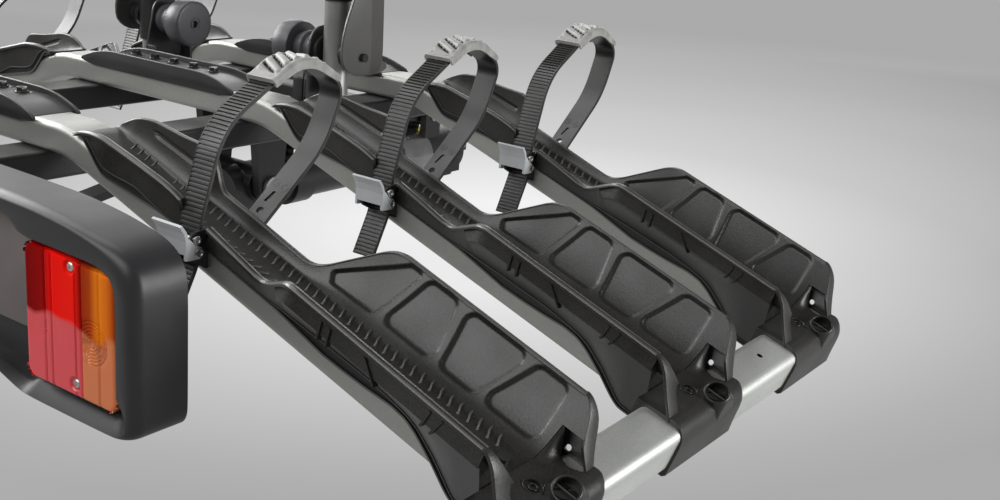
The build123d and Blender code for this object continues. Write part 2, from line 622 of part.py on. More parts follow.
def main():
    """Build and write every sub-part."""
    one_rail = rail()
    tray = right_tray()
    one_strap = strap()
    lever = buckle_lever()
    per_side = {"right": lambda s: s, "left": mirrored}

    for row, y in rail_rows.items():
        save(f"rail_{row}", Pos(0, y, 0) * one_rail)
        for side, turn in per_side.items():
            save(f"tray_{row}_{side}", Pos(0, y, 0) * turn(tray))
            save(f"buckle_lever_{row}_{side}", Pos(0, y, 0) * turn(lever))

    def everywhere(solids):
        """Right-hand pieces repeated on both sides of all three rails."""
        return [Pos(0, y, 0) * turn(s) for y in rail_rows.values() for turn in per_side.values() for s in solids]

    save("wheel_straps", everywhere([one_strap]))
    save("rim_pads", everywhere([rim_pad()]))
    save("buckle_frames", everywhere([buckle_frame()]))
    save("buckle_pins", everywhere(buckle_pins()))
    save("tray_screws", everywhere(tray_screws()))
    save("boss_screws", everywhere([boss_screw()]))

    cover = channel_cover()
    save("channel_covers", [Pos(0, y, 0) * cover for y in rail_rows.values()])
    save("channel_bolts", [Pos(0, y, 0) * b for y in rail_rows.values() for b in channel_bolts()])

    bar = crossbar()
    save("crossbar_right", bar)
    save("crossbar_left", mirrored(bar))
    save("crossbar_caps", [c for cap in crossbar_caps() for c in both_sides(cap)])

    save("beam_right", beam())
    save("beam_left", mirrored(beam()))
    save("tilt_bracket", tilt_bracket())
    save("latch_bracket", latch_bracket())
    save("pedal_pin", pedal_pin())
    save("tilt_pedal", tilt_pedal())
    save("pedal_pad", pedal_pad())

    save("main_tube", main_tube())
    save("tube_saddle", tube_saddle())
    save("tilt_pin", tilt_pin())
    save("latch_striker", latch_striker())
    save("coupling_body", coupling_body())
    save("coupling_pins", coupling_pins())
    save("coupling_jaw", coupling_jaw())
    save("clamp_lever", clamp_lever())
    save("clamp_grip", clamp_grip())

    save("hoop_tube", hoop())
    save("hoop_sleeves", both_sides(hoop_sleeve()))
    save("hoop_brackets", both_sides(hoop_bracket()))
    save("pivot_bolts", both_sides(pivot_bolt()))
    for side, turn in per_side.items():
        save(f"hoop_knob_{side}", turn(hoop_knob()))
        save(f"hoop_lever_{side}", turn(hoop_lever()))

    red, amber = lamp_parts()
    save("light_housing", light_housing())
    save("light_back", light_back())
    save("red_lenses", red)
    save("amber_lenses", amber)
    save("lens_screws", lens_screws())
    save("plate_panel", plate_panel())
    save("light_arms", both_sides(light_arm()))


main()
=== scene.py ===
from math import atan2, cos, hypot, pi, radians, sin, sqrt, tan

import bmesh
import bpy
from mathutils import Matrix, Vector


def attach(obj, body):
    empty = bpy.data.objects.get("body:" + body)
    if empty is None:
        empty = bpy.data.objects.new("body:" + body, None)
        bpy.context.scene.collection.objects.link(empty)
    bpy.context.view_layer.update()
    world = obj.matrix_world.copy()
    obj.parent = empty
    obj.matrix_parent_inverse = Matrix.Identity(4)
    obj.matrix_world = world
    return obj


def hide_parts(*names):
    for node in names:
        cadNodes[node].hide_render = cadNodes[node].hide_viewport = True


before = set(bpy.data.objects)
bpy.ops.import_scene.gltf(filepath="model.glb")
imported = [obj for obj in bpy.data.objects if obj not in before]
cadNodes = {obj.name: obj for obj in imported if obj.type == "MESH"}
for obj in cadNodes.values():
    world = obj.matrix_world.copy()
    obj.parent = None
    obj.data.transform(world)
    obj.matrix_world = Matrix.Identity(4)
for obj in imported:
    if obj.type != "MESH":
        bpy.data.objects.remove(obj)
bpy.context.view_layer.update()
mm = 0.001
rowY = {"rear": -619.0, "middle": -414.0, "front": -209.0}  # the three rails
sideSign = {"right": 1, "left": -1}

cameraValues = {
    "place": (0.94459, -1.19760, 0.35502),
    "across": (0.8073781982, 0.5848912157, 0.0777348752),
    "up": (-0.2339452715, 0.1963825033, 0.9522098100),
    "ahead": (-0.5416733840, 0.7869791473, -0.2953874859),
    "focal": 1222.29,  # in pixels of a frame 1000 wide
}


def makeCamera(v):
    data = bpy.data.cameras.new("camera")
    data.sensor_width = 36
    data.lens = v["focal"] / 1000 * data.sensor_width
    data.clip_start, data.clip_end = 0.02, 200
    cam = bpy.data.objects.new("camera", data)
    bpy.context.scene.collection.objects.link(cam)
    turn = Matrix((v["across"], v["up"], [-c for c in v["ahead"]])).transposed()
    cam.matrix_world = Matrix.Translation(v["place"]) @ turn.to_4x4()
    bpy.context.scene.camera = cam


makeCamera(cameraValues)

studio = {
    "floorZ": -0.45,
    "paintedLightPool": {"centre": (-0.573, 1.010), "reach": (4.947, 4.063), "turn": 77.4,     # painted pool of light on the floor, round
             "steps": [(0.0, 0.0), (0.184, 0.036), (0.369, 0.159), (0.553, 0.315), (0.738, 0.524),
                       (0.922, 0.869)]},
    "paintedLightRise": {"centre": (1.089, 0.0), "reach": (5.319, 1.0), "turn": 132.2,     # painted brightening that rises away from the viewer
             "steps": [(0.0, 0.0), (0.333, 0.085), (0.667, 0.354), (1.0, 0.544)]},
    "darkest": 0.407, "shift": 0.12,
    "floorShows": 0.94,            # share of the floor's brightness that doesn't depend on the lamps
    "world": 0.22,
    "lamps": {  # place, aim, size, size across, watts
        "key": ((-0.10, -1.95, 1.32), (0.35, -0.45, 0.0), 1.9, 1.2, 27),
        "left": ((-1.55, -0.56, 0.86), (0.45, -0.5, 0.0), 1.5, 0.8, 42),
        "back": ((-1.05, 1.25, 0.98), (0.2, -0.6, 0.1), 1.8, 0.7, 13),
        "top": ((-0.50, -0.40, 1.45), (0.3, -0.45, 0.0), 0.9, 0.6, 6),
        "right": ((2.2, 0.3, 0.35), (0.45, -0.4, 0.0), 0.9, 1.0, 32),
    },
}


def link(nodeTree, a, outName, b, inName):
    nodeTree.links.new(a.outputs[outName], b.inputs[inName])


def floorPattern(tree, v, kind):
    where = tree.nodes.new("ShaderNodeTexCoord")
    place = tree.nodes.new("ShaderNodeMapping")
    place.vector_type = "TEXTURE"
    place.inputs["Location"].default_value = (*v["centre"], 0)
    place.inputs["Rotation"].default_value = (0, 0, radians(v["turn"]))
    place.inputs["Scale"].default_value = (*v["reach"], 1)
    link(tree, where, "Object", place, "Vector")
    spread = tree.nodes.new("ShaderNodeTexGradient")
    spread.gradient_type = kind
    link(tree, place, "Vector", spread, "Vector")
    ramp = tree.nodes.new("ShaderNodeValToRGB")
    steps = ramp.color_ramp.elements
    while len(steps) < len(v["steps"]):
        steps.new(0.5)
    for step, (at, grey) in zip(steps, v["steps"]):
        step.position = at
        step.color = (grey, grey, grey, 1)
    link(tree, spread, "Fac", ramp, "Fac")
    return ramp


def floorFinish(v):
    mat = bpy.data.materials.new("paleFloor")
    mat.use_nodes = True
    tree = mat.node_tree
    shader = tree.nodes["Principled BSDF"]
    shader.inputs["Roughness"].default_value = 0.9
    shader.inputs["Specular IOR Level"].default_value = 0.1
    paintedLightPool, paintedLightRise = floorPattern(tree, v["paintedLightPool"], "SPHERICAL"), floorPattern(tree, v["paintedLightRise"], "LINEAR")
    both, lowered, grey = (tree.nodes.new("ShaderNodeMath") for k in range(3))
    link(tree, paintedLightPool, "Color", both, 0)
    link(tree, paintedLightRise, "Color", both, 1)
    lowered.operation = "SUBTRACT"
    link(tree, both, "Value", lowered, 0)
    lowered.inputs[1].default_value = v["shift"]
    grey.operation = "MAXIMUM"
    link(tree, lowered, "Value", grey, 0)
    grey.inputs[1].default_value = v["darkest"]
    link(tree, grey, "Value", shader, "Base Color")
    # the floor's emission shows the painted pool of light to camera, glossy and transmission rays
    shine = tree.nodes.new("ShaderNodeEmission")
    link(tree, grey, "Value", shine, "Color")
    ray = tree.nodes.new("ShaderNodeLightPath")
    seen = tree.nodes.new("ShaderNodeMath")
    link(tree, ray, "Is Camera Ray", seen, 0)
    link(tree, ray, "Is Glossy Ray", seen, 1)
    seenToo = tree.nodes.new("ShaderNodeMath")
    seenToo.use_clamp = True
    link(tree, seen, "Value", seenToo, 0)
    link(tree, ray, "Is Transmission Ray", seenToo, 1)
    share = tree.nodes.new("ShaderNodeMath")
    share.operation = "MULTIPLY"
    share.inputs[1].default_value = v["floorShows"]
    link(tree, seenToo, "Value", share, 0)
    mix = tree.nodes.new("ShaderNodeMixShader")
    link(tree, share, "Value", mix, 0)
    link(tree, shader, "BSDF", mix, 1)
    link(tree, shine, "Emission", mix, 2)
    link(tree, mix, "Shader", tree.nodes["Material Output"], "Surface")
    return mat


def makeStudio(v):
    world = bpy.data.worlds.new("studio")
    bpy.context.scene.world = world
    world.use_nodes = True
    world.node_tree.nodes["Background"].inputs["Color"].default_value = (v["world"],) * 3 + (1,)
    for name, (place, aim, wide, high, watts) in v["lamps"].items():
        data = bpy.data.lights.new(name, "AREA")
        data.shape, data.size, data.size_y, data.energy = "RECTANGLE", wide, high, watts
        lamp = bpy.data.objects.new(name, data)
        lamp.location = place
        lamp.rotation_euler = (Vector(aim) - Vector(place)).to_track_quat("-Z", "Y").to_euler()
        bpy.context.scene.collection.objects.link(lamp)
    bpy.ops.mesh.primitive_plane_add(size=80, location=(0, 0, v["floorZ"]))
    floor = bpy.context.object
    floor.name = "floor"
    floor.data.materials.append(floorFinish(v))


makeStudio(studio)
scene = bpy.context.scene
scene.view_settings.view_transform = "Standard"
print("studio ready")


def plainFinish(v):
    mat = bpy.data.materials.new(v["name"])
    mat.use_nodes = True
    tree = mat.node_tree
    shader = tree.nodes["Principled BSDF"]
    shader.inputs["Metallic"].default_value = v.get("metallic", 0.0)
    shader.inputs["Specular IOR Level"].default_value = v.get("level", 0.5)
    where = tree.nodes.new("ShaderNodeTexCoord")
    stretch = tree.nodes.new("ShaderNodeMapping")
    stretch.inputs["Scale"].default_value = v.get("stretch", (1, 1, 1))
    link(tree, where, "Object", stretch, "Vector")
    # broad mottle: a little lighter and darker over the surface
    mottle = tree.nodes.new("ShaderNodeTexNoise")
    mottle.inputs["Scale"].default_value = v.get("mottleSize", 25.0)
    mottle.inputs["Detail"].default_value = 4
    link(tree, stretch, "Vector", mottle, "Vector")
    tone = tree.nodes.new("ShaderNodeValToRGB")
    spread = v.get("mottle", 0.15)
    dark = [c * (1 - spread) for c in v["color"]]
    light = [min(1, c * (1 + spread)) for c in v["color"]]
    tone.color_ramp.elements[0].position, tone.color_ramp.elements[1].position = 0.3, 0.7
    tone.color_ramp.elements[0].color = (*dark, 1)
    tone.color_ramp.elements[1].color = (*light, 1)
    link(tree, mottle, "Fac", tone, "Fac")
    # fine grain: bump and glints
    grain = tree.nodes.new("ShaderNodeTexNoise")
    grain.inputs["Scale"].default_value = v.get("grainScale", 900.0)
    grain.inputs["Detail"].default_value = 2
    link(tree, stretch, "Vector", grain, "Vector")
    speck = tree.nodes.new("ShaderNodeMapRange")
    speck.inputs["From Min"].default_value, speck.inputs["From Max"].default_value = 0.35, 0.7
    speck.inputs["To Min"].default_value = 1 - v.get("speck", 0.0)
    speck.inputs["To Max"].default_value = 1 + v.get("speck", 0.0)
    link(tree, grain, "Fac", speck, "Value")
    tint = tree.nodes.new("ShaderNodeVectorMath")
    tint.operation = "SCALE"
    link(tree, tone, "Color", tint, 0)
    link(tree, speck, "Result", tint, "Scale")
    link(tree, tint, "Vector", shader, "Base Color")
    rough = tree.nodes.new("ShaderNodeMapRange")
    rough.inputs["From Min"].default_value, rough.inputs["From Max"].default_value = 0.3, 0.7
    rough.inputs["To Min"].default_value = v["rough"] - v.get("roughSpread", 0.05)
    rough.inputs["To Max"].default_value = v["rough"] + v.get("roughSpread", 0.05)
    link(tree, mottle, "Fac", rough, "Value")
    link(tree, rough, "Result", shader, "Roughness")
    bump = tree.nodes.new("ShaderNodeBump")
    bump.inputs["Strength"].default_value = v.get("bump", 0.2)
    bump.inputs["Distance"].default_value = 0.0004
    link(tree, grain, "Fac", bump, "Height")
    link(tree, bump, "Normal", shader, "Normal")
    return mat


finishes = {
    "trayPlastic": {"color": (0.019, 0.0178, 0.0165), "rough": 0.37, "bump": 0.30, "grainScale": 700,
                    "speck": 0.4, "mottle": 0.15},
    # lighter finish: painted highlight on rims, hems, claws and the slot bar
    "trayEdgeHighlight": {"color": (0.075, 0.073, 0.070), "rough": 0.34, "bump": 0.15, "grainScale": 700,
                 "mottle": 0.1},
    "boardPlastic": {"color": (0.021, 0.020, 0.022), "rough": 0.40, "level": 0.4, "bump": 0.06,
                     "grainScale": 500, "mottle": 0.1},
    "railAluminium": {"color": (0.37, 0.374, 0.35), "rough": 0.46, "metallic": 0.75, "bump": 0.12,
                      "grainScale": 1100, "speck": 0.05, "mottle": 0.05, "stretch": (0.25, 1, 1)},
    "barAluminium": {"color": (0.80, 0.815, 0.78), "rough": 0.43, "metallic": 0.85, "bump": 0.10,
                     "grainScale": 1100, "speck": 0.05, "mottle": 0.05, "stretch": (1, 0.25, 1)},
    "strapPlastic": {"color": (0.017, 0.0165, 0.0155), "rough": 0.36, "bump": 0.08, "grainScale": 400},
    "padGrey": {"color": (0.30, 0.297, 0.285), "rough": 0.5, "bump": 0.25, "grainScale": 600,
                "mottle": 0.25, "mottleSize": 90},
    "leverGrey": {"color": (0.42, 0.435, 0.445), "rough": 0.38, "bump": 0.1, "grainScale": 500,
                  "mottle": 0.12},
    "camGrey": {"color": (0.062, 0.060, 0.058), "rough": 0.42, "bump": 0.2, "grainScale": 600},
    "blackSteel": {"color": (0.017, 0.017, 0.018), "rough": 0.36, "bump": 0.1, "grainScale": 400},
    "blackPlastic": {"color": (0.018, 0.017, 0.017), "rough": 0.38, "bump": 0.15, "grainScale": 600},
    "zinc": {"color": (0.55, 0.55, 0.53), "rough": 0.3, "metallic": 0.95, "bump": 0.1},
    "blackZinc": {"color": (0.05, 0.05, 0.05), "rough": 0.25, "metallic": 0.6, "bump": 0.05},
    "hoopSilver": {"color": (0.30, 0.305, 0.295), "rough": 0.36, "metallic": 0.7, "bump": 0.15,
                   "grainScale": 900},
    "polished": {"color": (0.40, 0.39, 0.39), "rough": 0.24, "metallic": 1.0, "bump": 0.03,
                 "grainScale": 300},
    "castBlack": {"color": (0.022, 0.021, 0.022), "rough": 0.4, "metallic": 0.3, "bump": 0.1},
    "markYellow": {"color": (0.72, 0.66, 0.02), "rough": 0.4, "bump": 0.05},
    "rubber": {"color": (0.02, 0.02, 0.02), "rough": 0.6, "bump": 0.2},
    # near-black, used only for painted shade: the hem groove, the strap's openings, the bolt wells and the
    # louvre floors
    "paintedShadeBlack": {"color": (0.009, 0.009, 0.009), "rough": 0.45, "bump": 0.1},
    "knobGrey": {"color": (0.062, 0.062, 0.068), "rough": 0.4, "bump": 0.15, "grainScale": 500},
    "plateTaupe": {"color": (0.115, 0.10, 0.095), "rough": 0.5, "bump": 0.08, "grainScale": 500},
}
mats = {name: plainFinish({"name": name, **v}) for name, v in finishes.items()}


lensColors = {
    # colours of the upper part by distance from the middle of the board (m), with a painted highlight band
    # across the middle and darker towards the ends, and of the lower part, the lens colour mixed with a
    # painted reflection of the floor
    "lensRed": {"upper": [(0.283, (0.16, 0.001, 0.001)), (0.303, (0.26, 0.002, 0.002)),
                          (0.312, (0.78, 0.006, 0.004)), (0.334, (0.80, 0.012, 0.006)),
                          (0.341, (0.25, 0.004, 0.002))],
                "lower": (0.62, 0.045, 0.055)},
    "lensAmber": {"upper": [(0.341, (0.30, 0.018, 0.003)), (0.350, (0.36, 0.045, 0.005)),
                            (0.358, (0.75, 0.20, 0.01)), (0.366, (0.62, 0.14, 0.01)),
                            (0.374, (0.34, 0.04, 0.004))],
                  "lower": (0.58, 0.15, 0.04)},
}
lensLevel = {"change": 0.066, "wave": 0.030, "blur": 0.004, "rough": 0.12, "shineLow": 0.62,
             "shineHigh": 0.02}


def lensFinish(name, v):
    mat = bpy.data.materials.new(name)
    mat.use_nodes = True
    tree = mat.node_tree
    shader = tree.nodes["Principled BSDF"]
    shader.inputs["Roughness"].default_value = lensLevel["rough"]
    where = tree.nodes.new("ShaderNodeTexCoord")
    split = tree.nodes.new("ShaderNodeSeparateXYZ")
    link(tree, where, "Object", split, "Vector")
    out = tree.nodes.new("ShaderNodeMath")
    out.operation = "ABSOLUTE"
    link(tree, split, "X", out, 0)
    steps = v["upper"]
    spread = tree.nodes.new("ShaderNodeMapRange")
    spread.inputs["From Min"].default_value = steps[0][0]
    spread.inputs["From Max"].default_value = steps[-1][0]
    link(tree, out, "Value", spread, "Value")
    # ramp of the upper part's colours, with its painted highlight band
    upper = tree.nodes.new("ShaderNodeValToRGB")
    for k in range(len(steps) - 2):
        upper.color_ramp.elements.new(0.5)
    for element, (at, color) in zip(upper.color_ramp.elements, steps):
        element.position = (at - steps[0][0]) / (steps[-1][0] - steps[0][0])
        element.color = (*color, 1)
    link(tree, spread, "Result", upper, "Fac")
    # the line where the painted reflection of the floor starts, a little wavy
    noise = tree.nodes.new("ShaderNodeTexNoise")
    noise.inputs["Scale"].default_value = 22
    link(tree, where, "Object", noise, "Vector")
    wave = tree.nodes.new("ShaderNodeMath")
    wave.operation = "MULTIPLY_ADD"
    wave.inputs[1].default_value = lensLevel["wave"]
    link(tree, noise, "Fac", wave, 0)
    link(tree, split, "Z", wave, 2)
    height = tree.nodes.new("ShaderNodeMapRange")
    middle = lensLevel["change"] + lensLevel["wave"] / 2
    height.inputs["From Min"].default_value = middle - lensLevel["blur"] / 2
    height.inputs["From Max"].default_value = middle + lensLevel["blur"] / 2
    link(tree, wave, "Value", height, "Value")
    blend = tree.nodes.new("ShaderNodeMix")
    blend.data_type = "RGBA"
    blend.inputs["A"].default_value = (*v["lower"], 1)
    link(tree, height, "Result", blend, "Factor")
    link(tree, upper, "Color", blend, "B")
    link(tree, blend, "Result", shader, "Base Color")
    shine = tree.nodes.new("ShaderNodeMapRange")
    shine.inputs["To Min"].default_value = lensLevel["shineLow"]
    shine.inputs["To Max"].default_value = lensLevel["shineHigh"]
    link(tree, height, "Result", shine, "Value")
    link(tree, shine, "Result", shader, "Specular IOR Level")
    return mat


for name, v in lensColors.items():
    mats[name] = lensFinish(name, v)

nodeFinish = {
    "rail_": "railAluminium", "crossbar_caps": "blackPlastic", "crossbar_": "barAluminium",
    "beam_": "blackSteel", "tray_screws": "blackZinc", "boss_screws": "blackPlastic",
    "tray_": "trayPlastic", "wheel_straps": "strapPlastic", "rim_pads": "padGrey",
    "buckle_frames": "blackSteel", "buckle_pins": "zinc", "buckle_lever": "leverGrey",
    "channel_covers": "blackPlastic", "channel_bolts": "blackZinc", "hoop_tube": "hoopSilver",
    "hoop_sleeves": "blackPlastic", "hoop_brackets": "blackSteel", "hoop_lever": "camGrey",
    "hoop_knob": "blackPlastic", "pivot_bolts": "blackZinc", "light_housing": "boardPlastic",
    "light_back": "boardPlastic", "red_lenses": "lensRed", "amber_lenses": "lensAmber",
    "lens_screws": "zinc", "plate_panel": "plateTaupe", "coupling_body": "castBlack",
    "tilt_pin": "zinc", "coupling_pins": "zinc", "pedal_pin": "zinc", "pedal_pad": "rubber",
    "clamp_grip": "blackPlastic",
}
for name, node in cadNodes.items():
    key = next((k for k in nodeFinish if name.startswith(k)), None)
    node.data.materials.clear()
    node.data.materials.append(mats[nodeFinish[key] if key else "blackSteel"])
print("finishes ready")


def smooth01(t):
    t = max(0.0, min(1.0, t))
    return t * t * (3 - 2 * t)


def meshFrom(name, verts, faces, mat, angle=32, bevel=None, weld=0.0):
    mesh = bpy.data.meshes.new(name)
    mesh.from_pydata([(x * mm, y * mm, z * mm) for x, y, z in verts], [], faces)
    bm = bmesh.new()
    bm.from_mesh(mesh)
    if weld:
        bmesh.ops.remove_doubles(bm, verts=bm.verts, dist=weld * mm)
    bmesh.ops.recalc_face_normals(bm, faces=bm.faces)
    if bevel:
        edges = [e for e in bm.edges if len(e.link_faces) == 2 and e.calc_face_angle(0) > radians(24)]
        bmesh.ops.bevel(bm, geom=edges, offset=bevel * mm, segments=3, profile=0.5, affect="EDGES",
                        clamp_overlap=True)
    bm.to_mesh(mesh)
    bm.free()
    mesh.polygons.foreach_set("use_smooth", [True] * len(mesh.polygons))
    mesh.set_sharp_from_angle(angle=radians(angle))
    mesh.materials.append(mat)
    return mesh


def mirrored(mesh):
    # the same mesh for the left side
    other = mesh.copy()
    other.transform(Matrix.Scale(-1, 4, (1, 0, 0)))
    other.flip_normals()
    return other


def placePiece(name, mesh, body, node=None, at=(0, 0, 0)):
    piece = bpy.data.objects.new(name, mesh)
    piece.location = [c * mm for c in at]
    scene.collection.objects.link(piece)
    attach(piece, body)
    if node:
        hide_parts(node)


def prism(outline, low, high, place):
    n = len(outline)
    verts = [place(a, b, low) for a, b in outline] + [place(a, b, high) for a, b in outline]
    faces = [tuple(range(n))[::-1], tuple(range(n, 2 * n))]
    faces += [(i, (i + 1) % n, n + (i + 1) % n, n + i) for i in range(n)]
    return verts, faces


def gather(parts):
    verts, faces = [], []
    for v, f in parts:
        base = len(verts)
        verts += v
        faces += [tuple(i + base for i in face) for face in f]
    return verts, faces


def turned(profile, place, steps=40):
    verts, faces = [], []
    n = len(profile)
    for k in range(steps):
        a = 2 * pi * k / steps
        for r, h in profile:
            verts.append(place(r * cos(a), r * sin(a), h))
    for k in range(steps):
        k2 = (k + 1) % steps
        for i in range(n - 1):
            faces.append((k * n + i, k * n + i + 1, k2 * n + i + 1, k2 * n + i))
    for i, keep in ((0, profile[0][0]), (n - 1, profile[-1][0])):
        if keep > 0:
            faces.append(tuple(k * n + i for k in range(steps)))
    return verts, faces


tray = {
    "slope": 19.0, "bendX": 150.0, "railTop": 143.0,
    # u along the rail, half width, near rim, far rim, floor
    "rows": [(12, 20.5, 2.6, 2.6, 1.8), (19, 23, 8, 11, 3.5), (30, 25, 14, 20, 3.5),
             (46, 26.5, 19, 26, 3.5), (79, 27, 21.5, 31, 3.5), (106, 27.5, 23, 37, 3.5),
             (117, 27, 23, 32, 3.5), (123, 27, 22.8, 22, 3.5), (130, 27, 22.5, 13, 3.5),
             (166, 27, 17, 12.5, 3.5), (226, 27, 11, 11, 3.5), (236, 29.5, 14, 14, 3.5),
             (270, 53, 43.5, 43.5, 3.5), (280, 56.5, 46.5, 46.5, 3.5), (446, 57.5, 44.5, 44.5, 3.5)],
    # the rims' lips end above these heights
    "hem": [(12, 3.5), (24, 5), (33, 2), (48, 2), (83, 8), (117, 10), (150, 11.5), (166, 8), (185, 0.6),
            (362, 0.6), (381, -5), (400, -15), (418, -27), (426, -33.5), (446, -33.5)],
    "rounding": 5.0,       # how far corners are softened along the tray
    "floorHalf": 17.5, "rimBand": 5.6, "rimStep": 0.9, "lip": 3.6,
    "steeper": 6.5,        # degrees the wall gains towards its rim
    "notch": (141.0, 169.0),   # gap in the near wall for the buckle
    "cellDepth": 2.2, "cellEdge": 2.9, "cellCorner": 7.0,
    "cells": [[(245, 15), (290, 52), (302, 52), (290, 9), (250, 8)],
              [(309, 52), (335, 52), (348, 9), (298, 9)],
              [(345, 52), (401, 52), (385, 9), (354, 9)], [(409, 51), (435, 51), (439, 9), (391, 9)]],
    # foot of the side panel and low edge of the skirt where the tray hangs over the rail's sides
    "drape": [(12, 2.0, -0.5), (21, 7.0, 4.0), (27, 6.4, 0.2), (33, 5.1, -3.0), (42, -0.8, -8.4),
              (51, -4.9, -12.4), (58, -4.6, -12.4), (68, -3.2, -11.0), (80, -0.6, -9.4), (90, 0.9, -8.0),
              (111, -1.0, -5.1), (127, -1.8, -3.9), (186, -2.2, -3.9), (235, -2.0, -4.2),
              (246, -0.6, -4.8), (277, 0.5, -7.6), (294, 0.9, -9.2), (314, 1.3, -8.6), (334, 1.6, -7.5),
              (357, 0.3, -5.2), (371, -1.2, -6.2), (382, -4.1, -10.4), (400, -13.5, -20.5),
              (416, -24.5, -31.0), (424, -29.8, -34.6), (446, -30.5, -34.6)],
    "groove": [(50, 17.5), (106, 18.5), (106, 15), (56, 13.5)],
    "toothPitch": 8.6, "toothFirst": 45.0, "toothLast": 432.0,
    "screws": (80.0, 435.0), "end": 446.0,
    "shelf": 24.5,         # lower edge of the wall beyond its end
    "strip": 12.0,         # height of the lighter strip under the rim
    # on the strip: place along, lean
    "ribs": [(308, 2.0), (316, 2.0), (347, 14.0), (403, -2.0), (413, -4.0)],
    # faces of a ring that carry a painted highlight, or painted shade in the groove
    "pale": (60, 61, 64, 65, 80, 81, 84), "dark": (82, 83),
}
slopeCos, slopeSin = cos(radians(tray["slope"])), sin(radians(tray["slope"]))


def trayPlace(u, v, w):
    return (tray["bendX"] + u * slopeCos + w * slopeSin, v, tray["railTop"] - u * slopeSin + w * slopeCos)


def between(table, u, column=1):
    if u <= table[0][0]:
        return table[0][column]
    for a, b in zip(table, table[1:]):
        if u <= b[0]:
            return a[column] + (b[column] - a[column]) * (u - a[0]) / (b[0] - a[0])
    return table[-1][column]


def softened(table, u, column=1, reach=None):
    reach = tray["rounding"] if reach is None else reach
    reach = min(reach, u - 12 + 0.5, tray["end"] - u + 0.5)
    return sum(between(table, u + k * reach / 4, column) for k in range(-4, 5)) / 9


def edgeDistance(points, x, y):  # negative inside the outline
    inside, best = False, 1e9
    n = len(points)
    for i in range(n):
        x1, y1 = points[i]
        x2, y2 = points[(i + 1) % n]
        dx, dy = x2 - x1, y2 - y1
        t = max(0.0, min(1.0, ((x - x1) * dx + (y - y1) * dy) / (dx * dx + dy * dy)))
        best = min(best, hypot(x - x1 - t * dx, y - y1 - t * dy))
        if (y1 > y) != (y2 > y) and x < x1 + (y - y1) * dx / dy:
            inside = not inside
    return -best if inside else best


def shrunk(points, r):
    area = sum(a[0] * b[1] - b[0] * a[1] for a, b in zip(points, points[1:] + points[:1]))
    turn = 1 if area > 0 else -1
    out = []
    n = len(points)
    for i in range(n):
        (x0, y0), (x1, y1), (x2, y2) = points[i - 1], points[i], points[(i + 1) % n]
        a = Vector((x1 - x0, y1 - y0)).normalized()
        b = Vector((x2 - x1, y2 - y1)).normalized()
        mid = (Vector((-a.y, a.x)) + Vector((-b.y, b.x))) * turn
        out.append((x1 + mid.x * 2 * r / mid.length_squared, y1 + mid.y * 2 * r / mid.length_squared))
    return out


cellRadii = [tray["cellCorner"] if len(c) == 4 else 3.5 for c in tray["cells"]]
cellCores = [shrunk(c, r) for c, r in zip(tray["cells"], cellRadii)]
grooveCore = shrunk(tray["groove"], 1.2)


def wallSink(u, d, far):
    if 238 < u < 446:
        sink = 0.0
        for core, r in zip(cellCores, cellRadii):
            e = edgeDistance(core, u, d) - r
            if e < tray["cellEdge"]:
                sink = max(sink, tray["cellDepth"] * smooth01(0.5 - e / tray["cellEdge"]))
        return sink
    if far and u < 112:
        return 1.3 * smooth01(0.5 - (edgeDistance(grooveCore, u, d) - 1.2) / 1.6)
    return 0.0


def wallCurve(top, floor, steps=60):
    # the wall from the floor to its top, a little hollow; distances run down from the top
    rise = top.y - floor
    angle = min(radians(83), atan2(rise, top.x - tray["floorHalf"]) + radians(tray["steeper"]))
    elbow = Vector((top.x - rise / tan(angle), floor))
    foot = Vector((max(elbow.x - max(2.0, min(12.7, 0.31 * rise)), 9.0), floor))
    run, points = 0.0, []
    last = None
    for k in range(steps + 1):
        t = 1 - k / steps
        spot = foot * (1 - t) ** 2 + elbow * 2 * t * (1 - t) + top * t * t
        along = (elbow - foot) * (1 - t) + (top - elbow) * t
        run += (spot - last).length if last else 0.0
        points.append((run, spot, Vector((-along.y, along.x)).normalized()))
        last = spot
    return points


def onCurve(curve, run):
    for a, b in zip(curve, curve[1:]):
        if run <= b[0]:
            t = (run - a[0]) / (b[0] - a[0])
            return a[1].lerp(b[1], t), a[2].lerp(b[2], t)
    return curve[-1][1], curve[-1][2]


def wallSide(w):  # how far out the wall is at a height, at the widest rows
    for a, b in zip(fullWall, fullWall[1:]):
        if w >= b[1].y:
            return a[1].x + (b[1].x - a[1].x) * (w - a[1].y) / (b[1].y - a[1].y)
    return fullWall[-1][1].x


fullWall = wallCurve(Vector((57.5 - tray["rimBand"], 43.1)), 3.5)


